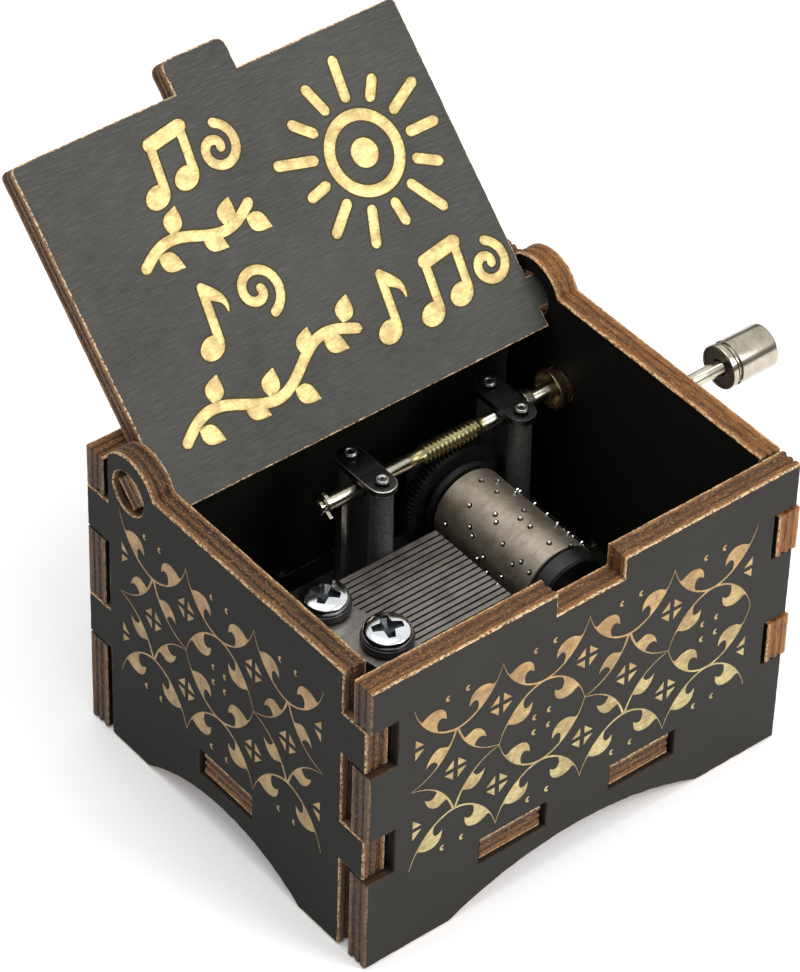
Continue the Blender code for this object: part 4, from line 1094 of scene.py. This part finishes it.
def make_pins():
    """The drum's pins, one row for each tine of the comb."""
    axis = in_case(JOINTS["drum_spin"])
    low, high = (corner.y for corner in case_box("comb"))
    draw = random.Random(PIN_SEED)
    verts = []
    faces = []
    paints = []
    for track in range(TRACKS):
        y = low + (high - low) / TRACKS * (track + 0.5)
        start = draw.uniform(0, 2 * math.pi)
        for index in range(PINS_PER_TRACK):
            angle = start + 2 * math.pi * (index + draw.uniform(-0.4, 0.4)) / PINS_PER_TRACK
            away = Vector((math.cos(angle), 0, math.sin(angle)))
            side = Vector((-away.z, 0, away.x))
            foot = Vector((axis.x, y, axis.z)) + away * BARREL_RADIUS
            base = len(verts)
            for height, radius in PIN_SHAPE:
                for j in range(PIN_SIDES):
                    ring = polar(2 * math.pi * j / PIN_SIDES) * radius
                    verts.append(foot + away * height + side * ring.x + Vector((0, ring.y, 0)))
            faces += stack(base, len(PIN_SHAPE), PIN_SIDES)
            # The root ring and the pin's foot take the dark finish, as painted shade
            paints += [1] * (2 * PIN_SIDES) + [0] * (3 * PIN_SIDES) + [1, 0]
    mesh = bpy.data.meshes.new("drum_pins")
    mesh.from_pydata(verts, [], faces)
    mesh.polygons.foreach_set("material_index", paints)
    face_outwards(mesh)
    finish_piece("drum_pins", mesh, "drum", ("chrome", "dark"), 40)


def make_knob():
    """The turned crank knob: a bright barrel with a groove near its mouth, and the bushing in that mouth."""
    axis = in_case(JOINTS["knob_spin"])
    low, high = case_box("crank_knob")
    radius = (high.z - low.z) / 2
    groove = radius - 0.3
    cavity = 2.3
    cavity_depth = 3.4
    bend = 0.42
    profile = [(low.x + cavity_depth, 0), (low.x + cavity_depth, cavity), (low.x, cavity), (low.x, groove)]
    profile += [(low.x + 0.28, groove), (low.x + 0.32, radius - 0.06), (low.x + 0.4, radius)]
    profile += [(high.x - bend, radius)]
    profile += quarter_round((high.x - bend, radius), (high.x, radius - bend), True)
    profile += [(high.x, radius * 0.5), (high.x, 0)]
    turned_knob_part("crank_knob", profile, axis, ("nickel",))

    near, far = (corner.x for corner in case_box("knob_bushing"))
    flange = near + 0.9
    recess = near + 0.12
    chamfer = 0.1
    rim = 0.16
    bore = 1.15
    sleeve = 2.0
    profile = [(recess, bore), (recess, groove - 0.05), (near, groove), (near, radius - rim)]
    profile += quarter_round((near, radius - rim), (near + rim, radius), False)
    profile += [(flange - chamfer, radius), (flange, radius - chamfer), (flange, sleeve)]
    profile += [(far, sleeve), (far, bore)]

    # The bushing's face inside the mouth takes the darker metal, as painted shade
    def in_mouth(point):
        return point.x < near + 0.2 and point.yz.length < groove
    turned_knob_part("knob_bushing", profile, axis, ("nickel", "mouth"), in_mouth)


def carved(mesh, tool):
    """The mesh with the tool's shape cut out of it."""
    objects = [placed("blank", mesh), placed("tool", tool)]
    modifier = objects[0].modifiers.new("recess", "BOOLEAN")
    modifier.solver = "EXACT"
    modifier.object = objects[1]
    graph = bpy.context.evaluated_depsgraph_get()
    result = bpy.data.meshes.new_from_object(objects[0].evaluated_get(graph))
    for item in objects:
        bpy.data.objects.remove(item)
    return result


def cross_tool(reach, arm, depth, top):
    """A tapered four-armed recess, deepest in the middle."""
    outline = []
    for quarter in range(4):
        turn = Matrix.Rotation(math.pi / 2 * quarter, 2)
        for point in ((reach, -arm), (reach, arm), (arm * 1.5, arm * 1.5)):
            outline.append(turn @ Vector(point))
    # Height, and the share of the outline's size there
    levels = ((top - depth, 0.42), (top - depth * 0.5, 0.86), (top + 0.4, 1.08))
    verts = [Vector((p.x * share, p.y * share, z)) for z, share in levels for p in outline]
    mesh = bpy.data.meshes.new("cross_tool")
    mesh.from_pydata(verts, [], stack(0, len(levels), len(outline)))
    face_outwards(mesh)
    return mesh


PAN_SQUARENESS = 0.72
# The head's height as a share of its radius in the CAD, and the share of that height that is drawn
HEAD_SHARE = 0.56
FLATTENED = 0.62
# Height of the head's lower edge, which is below its seat
SKIRT = -0.26


def crown_height(share, rim, head):
    """Height of a pan head's crown at a share of its radius."""
    return rim + (head - rim) * max(0.0, 1 - share ** (2 / PAN_SQUARENESS)) ** (PAN_SQUARENESS / 2)


def make_screw(node, turn, upside_down=False):
    """A bright pan-head screw with a cross recess, at its CAD node's place."""
    low, high = case_box(node)
    radius = (high.x - low.x) / 2
    cad_head = radius * HEAD_SHARE
    head = cad_head * FLATTENED
    rim = head * 0.22
    shank = radius * 0.4
    length = high.z - low.z - cad_head
    profile = [(-length, 0), (-length, shank * 0.7), (-length + 0.5, shank)]
    profile += [(SKIRT, shank), (SKIRT, radius - 0.16), (SKIRT + 0.06, radius - 0.04), (rim, radius)]
    for i in range(1, 12):
        angle = math.pi / 2 * i / 12
        height = rim + (head - rim) * math.sin(angle) ** PAN_SQUARENESS
        profile.append((height, radius * math.cos(angle) ** PAN_SQUARENESS))
    profile += [(head, radius * 0.05), (head, 0)]
    mesh = turned(node + "_skin", profile, 64, "Z")
    mesh = carved(mesh, cross_tool(radius * 0.68, radius * 0.16, head * 0.8, head))
    # The recess faces take the darker metal, as painted shade
    for face in mesh.polygons:
        reach = face.center.xy.length
        if reach < radius * 0.72 and 0 < face.center.z < crown_height(reach / radius, rim, head) - 0.03:
            face.material_index = 1
    place = Matrix.Rotation(math.radians(turn), 4, "Z")
    seat = high.z - cad_head
    if upside_down:
        place = Matrix.Rotation(math.pi, 4, "X") @ place
        seat = low.z + cad_head
    middle = Vector(((low.x + high.x) / 2, (low.y + high.y) / 2, seat))
    mesh.transform(Matrix.Translation(middle) @ place)
    mesh.name = node + "_skin"
    stand_in(node, mesh, "case", ("chrome", "recess"), 35)


def make_screws():
    """The comb's and the bedplate's screws."""
    make_screw("comb_screw_1", 38)
    make_screw("comb_screw_2", 68)
    for number in (1, 2, 3):
        make_screw(f"base_screw_{number}", 25 * number, upside_down=True)


# ---- stage

LIGHT_TARGET = Vector((0, 0, 25))
WORLD_STRENGTH = 0.95
# The upward part of a direction, and the surroundings' colour there
WORLD_STOPS = ((0.26, (0.22, 0.22, 0.21, 1.0)), (0.42, (1.0, 1.0, 1.0, 1.0)))
FLOOR_HALF = 3.0
FLOOR_DROP = 0.0002
FLOOR_WHITE = (0.95, 0.95, 0.95, 1.0)


def camera_axes():
    """The camera's right, up and back directions."""
    flat = math.cos(CAMERA_ELEVATION)
    level = polar(CAMERA_AZIMUTH - math.pi / 2) * flat
    back = Vector((level.x, level.y, math.sin(CAMERA_ELEVATION)))
    right = Vector((0, 0, 1)).cross(back).normalized()
    up = back.cross(right)
    turn = Matrix.Rotation(CAMERA_ROLL, 3, back)
    return turn @ right, turn @ up, back


def make_camera():
    """The camera at the photograph's viewing angle."""
    right, up, back = camera_axes()
    data = bpy.data.cameras.new("camera")
    data.lens = CAMERA_LENS
    data.clip_start = 0.05
    camera = placed("camera", data)
    place = ORIGIN + (CAMERA_TARGET + back * CAMERA_DISTANCE) * MM
    turn = Matrix((right, up, back)).transposed().to_4x4()
    camera.matrix_world = Matrix.Translation(place) @ turn
    bpy.context.scene.camera = camera


def area_light(name, position, side, power):
    """A soft square light aimed at the object, in case millimetres."""
    data = bpy.data.lights.new(name, "AREA")
    data.shape = "RECTANGLE"
    data.size = side * MM
    data.size_y = side * MM
    data.energy = power
    light = placed(name, data)
    place = Vector(position)
    light.location = ORIGIN + place * MM
    light.rotation_euler = (LIGHT_TARGET - place).to_track_quat("-Z", "Y").to_euler()


def make_world():
    """Surroundings that are white high up and grey low down, which the metal mirrors."""
    world = bpy.data.worlds.new("studio")
    world.use_nodes = True
    tree = world.node_tree
    background = tree.nodes["Background"]
    background.inputs["Strength"].default_value = WORLD_STRENGTH
    direction = tree.nodes.new("ShaderNodeTexCoord")
    parts = tree.nodes.new("ShaderNodeSeparateXYZ")
    ramp = tree.nodes.new("ShaderNodeValToRGB")
    tree.links.new(direction.outputs["Generated"], parts.inputs[0])
    tree.links.new(parts.outputs[2], ramp.inputs[0])
    tree.links.new(ramp.outputs[0], background.inputs["Color"])
    for stop, (position, colour) in zip(ramp.color_ramp.elements, WORLD_STOPS):
        stop.position = position
        stop.color = colour
    return world


def make_stage():
    """A pale floor, its surroundings and soft studio lights."""
    mesh = bpy.data.meshes.new("floor")
    corners = ((-1, -1), (1, -1), (1, 1), (-1, 1))
    mesh.from_pydata([(x * FLOOR_HALF, y * FLOOR_HALF, 0) for x, y in corners], [], [(0, 1, 2, 3)])
    nodes = Nodes("floor_white")
    nodes.finish(Base_Color=FLOOR_WHITE, Roughness=0.8, Emission_Color=FLOOR_WHITE, Emission_Strength=0.1)
    mesh.materials.append(nodes.material)
    floor = placed("floor", mesh)
    floor.location.z = -FLOOR_DROP
    bpy.context.scene.view_settings.view_transform = "Standard"
    bpy.context.scene.world = make_world()
    area_light("key", (230, -430, 420), 300, 2.2)
    area_light("top", (-40, 60, 520), 340, 1.0)


make_panels()
make_lattices()
make_lid_ornament()
refine_movement()
make_barrel()
make_pins()
make_knob()
make_screws()
make_camera()
make_stage()
